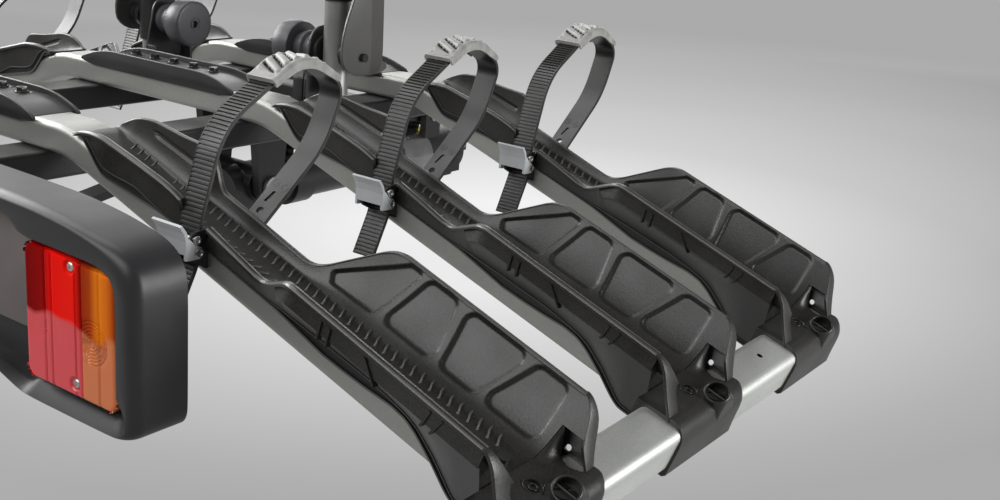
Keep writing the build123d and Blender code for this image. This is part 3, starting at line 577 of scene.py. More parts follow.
def halfSection(u, far):
    side = 1 if far else -1
    half = softened(tray["rows"], u, 1)
    rim = softened(tray["rows"], u, 3 if far else 2)
    floor = softened(tray["rows"], u, 4)
    hem = softened(tray["hem"], u, 1, 4)
    if not far:
        a, b = tray["notch"]
        cut = smooth01((u - a + 1) / 2) * smooth01((b + 1 - u) / 2)
        rim += (floor + 1.0 - rim) * cut
        half += (20.6 - half) * cut
        hem += (0.6 - hem) * cut
    band = min(tray["rimBand"], 0.75 * (half - tray["floorHalf"]))
    hem = min(hem, rim - 2.2)
    step = tray["rimStep"] * min(1.0, max(0.0, (rim - 8) / 8))
    curve = wallCurve(Vector((half - band, rim - 0.5 - step)), floor)
    length = (curve[0][1] - Vector((tray["floorHalf"], floor))).length     # the cells' heights start here
    out = [(curve[-1][1].x * k / 4 + 0.001, floor) for k in range(4)]
    count = 56
    for k in range(count):
        run = curve[-1][0] * (1 - k / (count - 1))
        spot, inward = onCurve(curve, run)
        out.append(tuple(spot - inward * wallSink(u, length - run, far)))
    r = min(1.6, band * 0.28)    # roundness of the rim's outer edge
    out += [(half - band + 0.15, rim - 0.5), (half - band + 0.6, rim - 0.05),
            (half - band * 0.62, rim + 0.1), (half - band * 0.38, rim + 0.1),
            (half - r * 1.1, rim - 0.12), (half - r * 0.35, rim - r * 0.45), (half, rim - r),
            (half, rim - r - (tray["lip"] - r) * 0.5)]
    lipLow = max(rim - tray["lip"], hem + 1.6)
    outer = Vector((half - band * 0.6, lipLow + 0.4))
    out += [(half, lipLow), (half - 0.6, lipLow - 0.25), (half - band * 0.45, lipLow), tuple(outer)]
    foot = Vector((22.0, min(softened(tray["drape"], u, 1, 3), outer.y - 0.5)))
    # the panel's upper strip leans out a little and ends in a small ledge
    s = smooth01((rim - 24) / 14)
    ledge = outer + Vector((1.4 * s, -0.3 - tray["strip"] * s))
    if ledge.y < foot.y + 0.4:
        ledge.y = max(foot.y + 0.4, outer.y - 0.3)
    under = ledge + Vector((-2.4 * s, -0.15 - 0.5 * s))
    out += [tuple(outer.lerp(ledge, k / 3)) for k in (1, 2, 3)] + [tuple(under)]
    out += [tuple(under.lerp(foot, k / 4)) for k in (1, 2, 3, 4)]
    low = min(foot.y - 1.2, softened(tray["drape"], u, 2, 3))
    k = min(1.0, (foot.y - low) / 4.2)     # a dark groove runs above the skirt's low edge
    out += [(22.7, foot.y - 0.3 * k), (22.7, foot.y - 0.9 * k), (20.4, foot.y - 1.3 * k),
            (20.4, low + 2.0 * k), (22.0, low + 1.7 * k), (22.0, low + 0.2 * k), (20.3, low), (19.2, 0.0)]
    return [(side * v, w) for v, w in out]


def trayStations():
    us, u = [], 12.0
    while u < tray["end"]:
        us.append(u)
        if 136 < u < 173 or 104 < u < 134 or 238 < u:
            u += 1.2
        else:
            u += 2.4
    return us + [tray["end"]]


def lofted(rings):
    verts, faces = [], []
    n = len(rings[0])
    for ring in rings:
        verts += ring
    for i in range(len(rings) - 1):
        for k in range(n):
            k2 = (k + 1) % n
            faces.append((i * n + k, i * n + k2, (i + 1) * n + k2, (i + 1) * n + k))
    faces.append(tuple(range(n)))
    faces.append(tuple((len(rings) - 1) * n + k for k in range(n))[::-1])
    return verts, faces


def trayShell():
    rings = []
    for u in trayStations():
        loop = halfSection(u, True) + halfSection(u, False)[::-1]
        rings.append([trayPlace(u, v, w) for v, w in loop])
    return lofted(rings)


def claw(u, side):
    # a low rib that bends across the trough and climbs towards the wall
    path = [(1.3, 4.6, 0.3), (1.1, 6.2, 1.1), (0.4, 8.0, 1.9), (-0.7, 9.9, 2.5), (-1.9, 11.9, 2.7),
            (-2.7, 13.9, 2.7), (-3.1, 15.8, 2.8)]
    verts = []
    scale = (0.8 if side > 0 else 0.55) * (0.6 + 0.4 * smooth01((u - 110) / 60))
    for a, v, h in path:
        base, h = 3.3, h * scale
        for du, dw in ((-1.5, 0), (-1.0, h * 0.6), (-0.35, h), (0.15, h * 0.95), (0.7, 0)):
            verts.append(trayPlace(u + a + du, side * v, base + dw))
    faces = []
    for i in range(len(path) - 1):
        for k in range(4):
            faces.append((i * 5 + k, i * 5 + k + 1, i * 5 + k + 6, i * 5 + k + 5))
    faces += [(0, 1, 2, 3, 4), tuple(len(verts) - 5 + k for k in range(5))[::-1]]
    return verts, faces


def claws():
    found = []
    count = int((tray["toothLast"] - tray["toothFirst"]) / tray["toothPitch"]) + 1
    for k in range(count):
        u = tray["toothFirst"] + k * tray["toothPitch"]
        for side in (-1, 1):
            if not any(abs(u - s - 2) < 7 for s in tray["screws"]):
                found.append(claw(u, side))
    return found


trayEnd = {
    # outline of the tray's outboard end in u and w, from the rim down to the clamp
    "line": [(444.5, 44.4), (447, 44.1), (449.5, 43.0), (452, 41.3), (454.5, 39.0), (457, 36.2),
             (459.5, 32.2), (462.2, 27.4), (466.3, 20.6), (471, 13.2), (476.4, 5.0)],
    # far half width at each height
    "outer": [(-20, 45), (6, 45), (17, 50), (27, 56), (32, 57.5), (50, 57.5)],
    "far": 36.4, "near": 43.5,    # inner edge of the upright strip below the wall
    "thick": 2.4, "hole": (454.0, 8.3, 2.3),
}


def endStrip(v, far):
    side = 1 if far else -1
    line = v["line"]
    rings = []
    for i, (u, w) in enumerate(line):
        a, b = line[max(0, i - 1)], line[min(len(line) - 1, i + 1)]
        way = Vector((b[0] - a[0], b[1] - a[1])).normalized()
        back = Vector((way.y, -way.x)) * v["thick"]
        back = back if back.x < 0 or back.y < 0 else -back
        inner = wallSide(w) if w > tray["shelf"] else v["far" if far else "near"]
        outer = between(v["outer"], w) if far else 57.5
        ring = [(u, inner, w), (u, outer, w), (u + back.x, outer, w + back.y),
                (u + back.x, inner + 0.4, w + back.y)]
        rings.append([trayPlace(a, side * b, c) for a, b, c in ring])
    return lofted(rings)


def endWall(v, far):
    side = 1 if far else -1
    rings = []
    for k in range(15):
        u = 445.8 + 17.6 * k / 14
        top = between(v["line"], u) - 0.4
        low = min(tray["shelf"], top - 0.3)
        inner = [low + (top - low) * j / 8 for j in range(9)]
        ring = [(u, wallSide(w), w) for w in inner] + [(u, wallSide(w) + 2.4, w - 1.2) for w in inner[::-1]]
        rings.append([trayPlace(a, side * b, c) for a, b, c in ring])
    return lofted(rings)


def endSkin(v):
    # outer skin of the far corner with a small drain hole, and the wall that closes its inboard side
    hu, hw, r = v["hole"]
    edge = sorted((w, u) for u, w in v["line"])
    parts = []
    rings = []
    for k in range(13):
        w = 14 + 27 * k / 12
        out, tip = between(v["outer"], w), between(edge, w) - 0.5
        rings.append([trayPlace(446, out, w), trayPlace(tip, out, w), trayPlace(tip, out - 2, w),
                      trayPlace(446, out - 2, w)])
    parts.append(lofted(rings))
    steps = 24
    ring, rim = [], []
    for k in range(steps):
        a = 2 * pi * k / steps
        du, dw = cos(a), sin(a)
        reach = min((474 - hu) / du if du > 0 else (446 - hu) / du if du < 0 else 99,
                    (14 - hw) / dw if dw > 1e-6 else (-18 - hw) / dw if dw < -1e-6 else 99)
        for spots, t in ((ring, r), (rim, reach)):
            w = hw + dw * t
            u = min(hu + du * t, between(edge, w) - 0.6)
            spots.append((u, between(v["outer"], w), w))
    verts = [trayPlace(*p) for p in ring + rim] + [trayPlace(u, o - 2, w) for u, o, w in ring + rim]
    faces = []
    for k in range(steps):
        j = (k + 1) % steps
        faces += [(k, j, steps + j, steps + k),
                  (2 * steps + k, 3 * steps + k, 3 * steps + j, 2 * steps + j),
                  (k, 2 * steps + k, 2 * steps + j, j),
                  (steps + k, steps + j, 3 * steps + j, 3 * steps + k)]
    parts.append((verts, faces))
    closing = [(53, 40), (57.3, 38), (57.3, 31), (56, 27), (50, 17), (45, 6), (45, -18), (22, -18), (22, 4)]
    parts.append(prism(closing, 444.5, 446.6, lambda a, b, u: trayPlace(u, a, b)))
    return gather(parts)


block = {
    "near": -57.0, "far": 46.5, "step": 1.3,
    "low": -36.0, "back": 446.8, "face": 491.2,
    "top": [(446, 6), (470, 7.4), (478, 8.2), (482, 7.4), (485, 5.9), (487.5, 3.6), (489.3, 0.8),
            (490.6, -3), (491.2, -8)],
    # dark opening beside the wall, in u and v
    "pocket": [(444, 44), (444, 49), (472.5, 49), (473.5, 36.4), (469.5, 33), (464, 31.3), (457, 34.6),
               (450, 40)],
    "pocketDepth": 22.0,
    "bossAt": (480.5, 1.0), "bossLean": 29.0, "bossRadius": 10.2, "bossTop": 15.0, "wellRadius": 8.2,
    "bossReach": 490.9,     # the boss's flare stays inside this u
    "ringAt": (463.5, -7.5),
}


def blockTop(v, u, y):
    top = between(v["top"], u)
    if 12 < y < 38:   # scoop that runs up to the end of the wall
        rise = onHeight(y) - 5.0
        top += max(0.0, rise) * (1 - smooth01((u - v["back"]) / 13.0)) ** 2
    top -= (v["pocketDepth"] + max(0.0, top - 7)) * smooth01(0.5 - edgeDistance(v["pocket"], u, y) / 1.4)
    if hypot(u - v["ringAt"][0], y - v["ringAt"][1]) < 7.0:
        top -= 3.0
    return top


def onHeight(y):  # height of the wall's inner face at a half width
    for a, b in zip(fullWall, fullWall[1:]):
        if y >= b[1].x:
            return a[1].y + (b[1].y - a[1].y) * (y - a[1].x) / (b[1].x - a[1].x)
    return 3.5


def endBlock(v):
    us = [v["back"] + k * v["step"] for k in range(int((v["face"] - 1.2 - v["back"]) / v["step"]) + 1)]
    us += [v["face"] - 0.6, v["face"] - 0.2, v["face"]]
    ys = [v["near"] + k * v["step"] for k in range(int((v["far"] - v["near"]) / v["step"]) + 1)] + [v["far"]]
    verts, faces = [], []
    n = len(us)
    for y in ys:
        over = max(0.0, y - (v["far"] - 9)) / 9
        pull = 3.2 * (1 - sqrt(max(0.0, 1 - over ** 2)))
        verts += [trayPlace(u - pull * smooth01((u - 478) / 12), y, blockTop(v, u, y)) for u in us]
    for j in range(len(ys) - 1):
        for i in range(n - 1):
            faces.append((j * n + i, j * n + i + 1, (j + 1) * n + i + 1, (j + 1) * n + i))
    base = len(verts)
    low = [(v["back"], v["low"] + 4), (v["back"] + 4, v["low"]), (v["face"] - 2.5, v["low"]),
           (v["face"], v["low"] + 2.5)]
    verts += [trayPlace(u, y, w) for y in ys for u, w in low]
    for j in range(len(ys) - 1):
        a, b = base + j * 4, base + (j + 1) * 4
        faces += [(a + k, b + k, b + k + 1, a + k + 1) for k in range(3)]
        faces.append((j * n, (j + 1) * n, b, a))
        faces.append((j * n + n - 1, a + 3, b + 3, (j + 1) * n + n - 1))
    for j, flip in ((0, 1), (len(ys) - 1, -1)):
        loop = [j * n + i for i in range(n)] + [base + j * 4 + k for k in (3, 2, 1, 0)]
        faces.append(tuple(loop[::flip]))
    return verts, faces


def bossPlace(v, a, b, h):
    lean = radians(v["bossLean"])
    u0, v0 = v["bossAt"]
    u = min(u0 + a, v["bossReach"])
    return trayPlace(u, v0 + b * cos(lean) - h * sin(lean), v["bossTop"] + h * cos(lean) + b * sin(lean))


def boss(v):
    r, well = v["bossRadius"], v["wellRadius"]
    profile = [(r + 5, -22), (r + 4.4, -12), (r + 2.2, -7), (r + 0.7, -3.5), (r, -1.2), (r - 0.3, -0.4),
               (r - 0.9, 0), (well + 0.5, 0), (well + 0.1, -0.4), (well, -1.2), (well, -7.5),
               (0.01, -7.6)]
    return turned(profile, lambda a, b, h: bossPlace(v, a, b, h), 48)


def slotBar(v):
    well = v["wellRadius"]
    outline = [(-well, -0.5), (well, -0.5), (well, 0.5), (-well, 0.5)]
    return prism(outline, -7.4, -3.6, lambda a, b, h: bossPlace(v, a, b, h))


def ringRecess(v):
    profile = [(7.7, -1.5), (7.6, 0.2), (7.2, 0.5), (6.5, 0.5), (6.2, 0.1), (6.1, -1.6), (3.7, -1.8),
               (3.6, -0.5), (3.3, -0.2), (2.7, -0.2), (2.4, -0.5), (2.3, -2.4), (0.01, -2.4)]
    u0, v0 = v["ringAt"]
    base = between(v["top"], u0)
    return turned(profile, lambda a, b, h: trayPlace(u0 + a, v0 + b, base + h), 40)


def panelRib(u, lean):
    # short rib on the outside of the near panel
    verts = []
    for w, du, out in ((39.0, 0.0, 55.2), (27.0, lean, 56.8)):
        verts += [trayPlace(u + du - 1.1, -52.5, w), trayPlace(u + du - 0.8, -out - 0.2, w),
                  trayPlace(u + du + 0.8, -out - 0.2, w), trayPlace(u + du + 1.1, -52.5, w)]
    faces = [(0, 1, 2, 3), (7, 6, 5, 4)] + [(k, (k + 1) % 4, 4 + (k + 1) % 4, 4 + k) for k in range(4)]
    return verts, faces


lug = {
    "outline": [(20.6, 8), (20.6, -8), (31, -8), (38.5, -0.6), (36.2, 4.6), (29.5, -0.4), (25, 3),
                (25, 15), (22.5, 15)],
    "x": (288, 308), "base": 85.0,
}


def strapLug(v):
    return prism(v["outline"], *v["x"], lambda y, z, x: (x, y, z + v["base"]))


def paintEdges(mesh, v):
    # painted highlight lines along the rims and hems, and painted shade in a groove
    mesh.materials.append(mats["trayEdgeHighlight"])
    mesh.materials.append(mats["paintedShadeBlack"])
    around = 2 * len(halfSection(v["end"], True))     # faces in one ring of the shell
    for face in mesh.polygons:
        k = face.index % around
        k = min(k, around - 2 - k)     # counted from the middle on both sides
        if k in v["pale"]:
            face.material_index = 1
        if k in v["dark"]:
            face.material_index = 2


def addTrays():
    meshes = {
        "Shell": ([trayShell()], 40, None),
        "Teeth": (claws() + [slotBar(block)], 50, None),
        "Strips": ([endStrip(trayEnd, True), endStrip(trayEnd, False)], 40, 0.55),
        "Walls": ([endWall(trayEnd, True), endWall(trayEnd, False)], 40, None),
        "Skin": ([endSkin(trayEnd)], 40, None),
        "Block": ([endBlock(block)], 38, None),
        "Boss": ([boss(block), ringRecess(block)], 40, None),
        "Lug": ([strapLug(lug)], 30, 0.8),
        "Ribs": ([panelRib(u, lean) for u, lean in tray["ribs"]], 30, None),
    }
    made = {}
    for side, sign in sideSign.items():
        for name, (parts, angle, bevel) in meshes.items():
            verts, faces = gather(parts)
            # the claws and the slot bar take the lighter finish as a painted highlight
            mat = mats["trayEdgeHighlight" if name == "Teeth" else "trayPlastic"]
            verts = [(sign * x, y, z) for x, y, z in verts]
            mesh = meshFrom(f"tray{name}_{side}", verts, faces, mat, angle, bevel)
            if name == "Shell":
                paintEdges(mesh, tray)
            made[name, side] = mesh
    for row, y in rowY.items():
        for side in sideSign:
            for name in meshes:
                node = f"tray_{row}_{side}" if name == "Shell" else None
                placePiece(f"tray{name}_{row}_{side}", made[name, side], "platform", node,
                           (0, y, 0))


addTrays()
print("trays ready")

strap = {
    "x": 297.9, "wide": 22.2, "thick": 3.0, "base": 85.0,      # heights below are from the buckle's pin
    "route": [(-45, -46), (-27, -10), (-25, 16), (-4, 84), (72, 129), (117, 103), (98, 58), (32, 3.7)],
    "bends": [40, 80, 60, 35, 14, 80],
    "pitch": 3.4, "ribs": 281.0,      # ribs run from the tail to this distance
    "ribLow": 0.25, "rail": 1.1,
    # openings in the plain end: across, distance up from the lug, radius
    "hole": (-1.5, 15.0, 3.1), "discs": [(-5.6, 41.5, 3.7), (5.4, 39.0, 3.7)],
    "slot": (-2.0, 28.5, 1.5, 5.2),
}


def bentPath(corners, bends, step=0.25):
    # corners rounded with arcs; returns distance, spot and direction at even steps
    spots = [Vector(corners[0])]
    for k in range(1, len(corners) - 1):
        here = Vector(corners[k])
        a, b = (Vector(corners[k - 1]) - here).normalized(), (Vector(corners[k + 1]) - here).normalized()
        half = a.angle(b) / 2
        r = bends[k - 1]
        reach = r / tan(half)
        centre = here + (a + b).normalized() * (r / sin(half))
        start, stop = here + a * reach - centre, here + b * reach - centre
        turn = atan2(start.x * stop.y - start.y * stop.x, start.dot(stop))
        for j in range(25):
            t = turn * j / 24
            spots.append(centre + Vector((start.x * cos(t) - start.y * sin(t),
                                          start.x * sin(t) + start.y * cos(t))))
    spots.append(Vector(corners[-1]))
    runs = [0.0]
    for a, b in zip(spots, spots[1:]):
        runs.append(runs[-1] + (b - a).length)
    return spots, runs


def pathAt(path, s):
    spots, runs = path
    s = max(0.0, min(runs[-1], s))
    low, high = 0, len(runs) - 1
    while high - low > 1:
        mid = (low + high) // 2
        low, high = (mid, high) if runs[mid] <= s else (low, mid)
    gap = runs[high] - runs[low]
    t = (s - runs[low]) / gap if gap > 1e-9 else 0.0
    way = (spots[high] - spots[low]).normalized()
    # the last one points out of the loop
    return spots[low].lerp(spots[high], t), way, Vector((-way.y, way.x))


strapPath = bentPath(strap["route"], strap["bends"])


def strapPlace(v, x, s, out):
    spot, _, away = pathAt(strapPath, s)
    spot = spot + away * out
    return (v["x"] + x, spot.x, spot.y + v["base"])


def strapBand(v):
    half, flat = v["wide"] / 2, v["thick"] / 2
    stations, s = [], 0.0
    while s < v["ribs"]:
        for t, h in ((0.0, v["ribLow"]), (0.14, v["ribLow"]), (0.18, 1.0), (0.60, 0.98), (0.97, 0.72)):
            stations.append((s + t * v["pitch"], h))
        s += v["pitch"]
    end = strapPath[1][-1]
    plain = int((end - s) / 3)
    stations += [(s + (end - s) * k / plain, 1.0) for k in range(plain + 1)]
    rings = []
    for s, h in stations:
        ring = [(-half, -flat + 0.4), (-half + 0.4, -flat), (half - 0.4, -flat), (half, -flat + 0.4),
                (half, flat - 0.3), (half - 0.3, flat), (half - v["rail"], flat),
                (half - v["rail"] - 0.15, flat * h),
                (-half + v["rail"] + 0.15, flat * h), (-half + v["rail"], flat), (-half + 0.3, flat),
                (-half, flat - 0.3)]
        rings.append([strapPlace(v, x, s, n) for x, n in ring])
    return lofted(rings)


def strapOpeningShade(v):
    # two openings in the plain end, drawn as near-black discs of painted shade
    end = strapPath[1][-1]
    parts = []
    for x0, up, r in v["discs"]:
        profile = [(r, 1.2), (r, 1.62), (r - 0.7, 1.62), (r - 0.8, 1.3), (r - 2.0, 1.3), (r - 2.1, 1.58),
                   (0.01, 1.58)]
        parts.append(turned(profile, lambda a, b, h: strapPlace(v, x0 + a, end - up + b, -h), 28))
    return gather(parts)


def strapCutter(v):
    end = strapPath[1][-1]
    x0, up, r = v["hole"]
    parts = [turned([(0.0001, -4), (r, -4), (r, 4), (0.0001, 4)],
                    lambda a, b, h: strapPlace(v, x0 + a, end - up + b, h), 24)]
    x0, up, wide, long = v["slot"]
    outline = [(x0 - wide - 1.2, up - long), (x0 + wide - 1.2, up - long), (x0 + wide + 1.2, up + long),
               (x0 - wide + 1.2, up + long)]
    parts.append(prism(outline, -4, -0.5, lambda x, s, n: strapPlace(v, x, end - s, n)))
    return gather(parts)


def cutMesh(mesh, cutterParts):
    # takes the cutter's shape out of a mesh
    verts, faces = cutterParts
    tool = meshFrom("cutter", verts, faces, mats["strapPlastic"])
    toolObject, body = bpy.data.objects.new("cutter", tool), bpy.data.objects.new("body", mesh)
    for o in (toolObject, body):
        scene.collection.objects.link(o)
    cut = body.modifiers.new("cut", "BOOLEAN")
    cut.object, cut.operation, cut.solver = toolObject, "DIFFERENCE", "EXACT"
    cut.material_mode = "TRANSFER"
    bpy.context.view_layer.update()
    result = bpy.data.meshes.new_from_object(body.evaluated_get(bpy.context.evaluated_depsgraph_get()))
    for o in (toolObject, body):
        bpy.data.objects.remove(o)
    result.set_sharp_from_angle(angle=radians(30))
    return result


pad = {
    "from": 187.0, "to": 259.0, "half": 15.0,     # distances along the strap
    "thick": 2.9, "clear": 1.7, "skirt": 3.0,
    "louvre": 9.2, "slant": 0.5, "depth": 2.6, "louvreHalf": 11.2,
    "columns": 48, "row": 0.55,    # faces across the top, and the distance between rows
}


def padHeight(v, x, s):
    # how far the top stands above the strap's middle
    t = (s - v["from"]) / (v["to"] - v["from"])
    top = v["clear"] + v["thick"] + 0.5 * sin(pi * max(0, min(1, t)))
    phase = ((s - v["from"] + 3.0 + v["slant"] * (x + v["louvreHalf"])) / v["louvre"]) % 1.0
    inside = smooth01((v["louvreHalf"] - abs(x + 0.6)) / 1.0)
    inside *= smooth01((t - 0.10) / 0.05) * smooth01((0.93 - t) / 0.05)
    slot = smooth01(phase / 0.06) * smooth01((0.30 - phase) / 0.06)
    rib = 1.5 * sin(pi * min(1.0, (phase - 0.25) / 0.7)) if phase > 0.30 else -v["depth"] * slot
    top += inside * rib
    top += 0.9 * smooth01((0.07 - t) / 0.06)     # rolled lip
    return top - 1.9 * smooth01((abs(x) - (v["half"] - 2.4)) / 2.4)


def padRows(v):
    return int((v["to"] - v["from"]) / v["row"])


def padBody(v):
    count, columns = padRows(v), v["columns"]
    across = [-v["half"] + 2 * v["half"] * k / columns for k in range(columns + 1)]
    rings = []
    for k in range(count + 1):
        t = k / count
        s = v["from"] + (v["to"] - v["from"]) * t
        low = -v["skirt"] - 1.6 * sin(pi * t) + 1.6
        ring = [(x, padHeight(v, x, s)) for x in across]
        ring += [(v["half"] + 0.15, 1.0), (v["half"], low), (v["half"] - 1.7, low),
                 (v["half"] - 1.9, v["clear"])]
        ring += [(-x, n) for x, n in ring[:-5:-1]]
        rings.append([strapPlace(strap, x, s, n) for x, n in ring])
    return lofted(rings)


def paintSlots(mesh, v):
    # floors of the louvres painted near-black, as painted shade in the slots
    mesh.materials.append(mats["paintedShadeBlack"])
    perRow = v["columns"] + 9
    for face in mesh.polygons:
        row, column = divmod(face.index, perRow)
        if column < v["columns"]:
            s = v["from"] + (v["to"] - v["from"]) * (row + 0.5) / padRows(v)
            x = v["half"] * (2 * (column + 0.5) / v["columns"] - 1)
            if padHeight(v, x, s) < v["clear"] + v["thick"] - 0.7 and abs(x) < v["half"] - 3:
                face.material_index = 1


rivet = {"pin": (-31.0, 85.0, 2.4), "pawl": (-33.0, 94.5, 2.0), "reach": 16.3, "head": 1.0, "rim": 1.25}


def rivets(v):
    parts = []
    for y, z, r in (v["pin"], v["pawl"]):
        reach, top = v["reach"], v["reach"] + v["head"]
        profile = [(0.01, -top + 0.9), (r - 0.5, -top + 0.8), (r - 0.1, -top), (r + v["rim"] - 0.3, -top),
                   (r + v["rim"], -top + 0.4), (r + v["rim"], -reach), (r, -reach), (r, reach),
                   (r + v["rim"], reach), (r + v["rim"], top - 0.4), (r + v["rim"] - 0.3, top),
                   (r - 0.1, top), (r - 0.5, top - 0.8), (0.01, top - 0.9)]
        parts.append(turned(profile, lambda a, b, h: (strap["x"] + h, y + a, z + b), 28))
    return gather(parts)


def addStraps():
    band = meshFrom("strapBand", *strapBand(strap), mats["strapPlastic"], 30)
    padMesh = meshFrom("rimPad", *padBody(pad), mats["padGrey"], 48)
    paintSlots(padMesh, pad)
    made = {    # mesh, slot and the node that it stands for
        "strapBand": (cutMesh(band, strapCutter(strap)), "strap_black", "wheel_straps"),
        "strapOpeningShade": (meshFrom("strapOpeningShade", *strapOpeningShade(strap), mats["paintedShadeBlack"], 30), "strap_black",
                       None),
        "rimPad": (padMesh, "pad_grey", "rim_pads"),
        "buckleRivets": (meshFrom("buckleRivets", *rivets(rivet), mats["zinc"], 30), "zinc", "buckle_pins"),
    }
    for name, (mesh, slot, node) in made.items():
        meshes = {"right": mesh, "left": mirrored(mesh)}
        for row, y in rowY.items():
            for side in sideSign:
                placePiece(f"{name}_{row}_{side}", meshes[side], "platform", node, (0, y, 0))


addStraps()
print("straps ready")

cover = {
    # side outline in x and z, one half; the wall is the same on both sides
    "edge": [(112.0, 142.2), (108.5, 145.6), (100.9, 148.4), (91, 151.6), (80.8, 154.0), (70, 155.5),
             (58, 156.2)],
    "low": [(92, 138.2), (99, 139.6), (106, 140.6)],
    "half": 22.0, "wall": 2.6, "floor": 151.0, "floorThick": 1.6,
    "floorEdge": [(70, 151.0), (84, 149.4), (96, 146.6), (105, 143.4)],
    "bolts": (-63, -34.5, -6, 22.5, 51), "boltY": 9.0, "well": 8.2,
}


def coverWall(v, sign):
    top = [(-x, z) for x, z in v["edge"]] + [(x, z) for x, z in v["edge"][::-1]]
    outline = top + [(x, z) for x, z in v["low"][::-1]] + [(-x, z) for x, z in v["low"]]
    return prism(outline, sign * (v["half"] - v["wall"]), sign * v["half"], lambda x, z, y: (x, y, z))


def coverFloor(v):
    inner = v["half"] - v["wall"] + 0.3
    top = [(-x, z) for x, z in v["floorEdge"][::-1]] + v["floorEdge"]
    outline = top + [(x, z - v["floorThick"]) for x, z in top[::-1]]
    return prism(outline, -inner, inner, lambda x, z, y: (x, y, z))


def boltWell(v, x):
    # round well round a bolt, near-black as painted shade of the recess round its head
    r, z = v["well"], v["floor"]
    profile = [(r + 0.7, z - 0.5), (r + 0.7, z + 0.15), (r, z + 0.3), (r - 0.6, z + 0.1), (0.01, z + 0.08)]
    return turned(profile, lambda a, b, h: (x + a, v["boltY"] + b, h), 32)


def hexBolt(v, x):
    z = v["floor"]
    washer = turned([(0.01, z), (5.6, z), (5.6, z + 0.9), (5.3, z + 1.2), (0.01, z + 1.2)],
                    lambda a, b, h: (x + a, v["boltY"] + b, h), 32)
    head = [(4.6 * cos(pi * k / 3 + 0.4), 4.6 * sin(pi * k / 3 + 0.4)) for k in range(6)]
    return [washer, prism(head, z + 1.2, z + 4.6, lambda a, b, h: (x + a, v["boltY"] + b, h))]


def addCovers(v):
    walls = gather([coverWall(v, -1), coverWall(v, 1)])
    bolts = gather([part for x in v["bolts"] for part in hexBolt(v, x)])
    wells = gather([boltWell(v, x) for x in v["bolts"]])
    made = {    # mesh, slot and the node that it stands for
        "channelCover": (meshFrom("channelCover", *walls, mats["blackPlastic"], 40, 0.9), "black_plastic",
                         "channel_covers"),
        "channelFloor": (meshFrom("channelFloor", *coverFloor(v), mats["blackPlastic"], 30),
                         "black_plastic", None),
        "channelWells": (meshFrom("channelWells", *wells, mats["paintedShadeBlack"], 40), "black_plastic", None),
        "channelBolts": (meshFrom("channelBolts", *bolts, mats["blackZinc"], 30, 0.35), "black_steel",
                         "channel_bolts"),
    }
    for row, y in rowY.items():
        for name, (mesh, slot, node) in made.items():
            placePiece(f"{name}_{row}", mesh, "platform", node, (0, y, 0))


addCovers(cover)
print("channels ready")

board = {
    # half outlines from the top's middle round to the bottom's: front edge, edge of the rear face, opening
    "front": [(0, 138), (222, 137), (270, 136.4), (300, 135.5), (334, 132.4), (352, 129.5), (367, 126.6),
              (378, 122.8), (386, 117.5), (391, 109), (393, 98), (393, 60), (393, 22), (392.5, 13),
              (388.5, 6.5), (381, 3.6), (370, 3), (340, 3), (300, 3), (286, 3.2), (276, 4), (262, 8),
              (248, 12.5), (235, 14), (0, 14)],
    "rear": [(0, 133.6), (222, 133), (270, 132.4), (300, 131.8), (331, 129), (346, 126), (357, 123),
             (367, 118.5), (376, 111.5), (381.5, 102.5), (384, 92), (384, 60), (384, 20), (383.5, 12.5),
             (380.5, 7.5), (374, 5.2), (366, 4.7), (340, 4.6), (300, 4.6), (286, 4.8), (276, 5.6),
             (262, 9.6), (248, 14), (235, 15.4), (0, 15.4)],
    "opening": [(0, 125.5), (222, 125.5), (264, 125.3), (273, 119), (280, 112.9), (330, 112.6),
                (356, 111.8), (366, 109.5), (371.5, 106), (374, 101), (374.8, 94), (374.8, 60),
                (374.8, 26), (374, 20), (371.5, 16.5), (367, 14.7), (360, 14.3), (330, 14.3),
                (296, 14.3), (285, 15.5), (279, 10.4), (262, 13), (248, 16.5), (235, 17.5), (0, 17.5)],
    "rearY": -768.0, "frontY": -727.0, "round": 9.5, "floorY": -747.0, "backY": -730.0, "rimSlope": 8.0,
}


def cornerCut(points):
    # one round of softening that keeps both ends
    out = [points[0]]
    for (x0, z0), (x1, z1) in zip(points, points[1:]):
        out += [(x0 + (x1 - x0) * t, z0 + (z1 - z0) * t) for t in (0.25, 0.75)]
    return out + [points[-1]]


def wholeOutline(points):
    half = cornerCut(cornerCut(points))
    return half + [(-x, z) for x, z in half[-2:0:-1]]


def boardShell(v):
    front, rear, opening = (wholeOutline(v[k]) for k in ("front", "rear", "opening"))

    def ring(a, b, t, y):
        return [(p[0] + (q[0] - p[0]) * t, y, p[1] + (q[1] - p[1]) * t) for p, q in zip(a, b)]

    def rimRing(t, deep):   # the lower rim slopes up into the opening
        return [(x, y + v["rimSlope"] * (1 - t) * smooth01((30 - z) / 9), z)
                for x, y, z in ring(opening, rear, t, v["rearY"] + deep)]

    rings = [ring(opening, rear, 0, v["floorY"]), rimRing(0, 1.6), rimRing(0.05, 0.6), rimRing(0.16, 0)]
    rings.append(ring(opening, rear, 1.0, v["rearY"]))
    for k in range(1, 11):
        a = pi / 2 * k / 10
        rings.append(ring(rear, front, sin(a), v["rearY"] + v["round"] * (1 - cos(a))))
    rings.append(ring(rear, front, 1, v["frontY"]))
    rings.append(ring(rear, front, 0.75, v["frontY"]))
    rings.append(ring(rear, front, 0.75, v["backY"]))
    return lofted(rings)


lamp = {
    "x": (283.4, 374.0), "z": (18.6, 111.6), "corner": 8.5, "slope": 3.5, "split": 341.0,
    "surface": -766.6, "round": 3.2, "depth": 4.0, "cell": 0.75,
    "grooves": [(304.6, 1.3), (311.4, 1.3), (335.4, 1.5), (341.0, 0.9), (358.4, 1.3)],
    "rings": [(351.0, 60.0, 17.0, 0.95), (296.5, 60.0, 12.5, 0.4)], "ringPitch": 2.2,
    "screws": [(330.0, 104.0), (333.5, 27.5)],
}


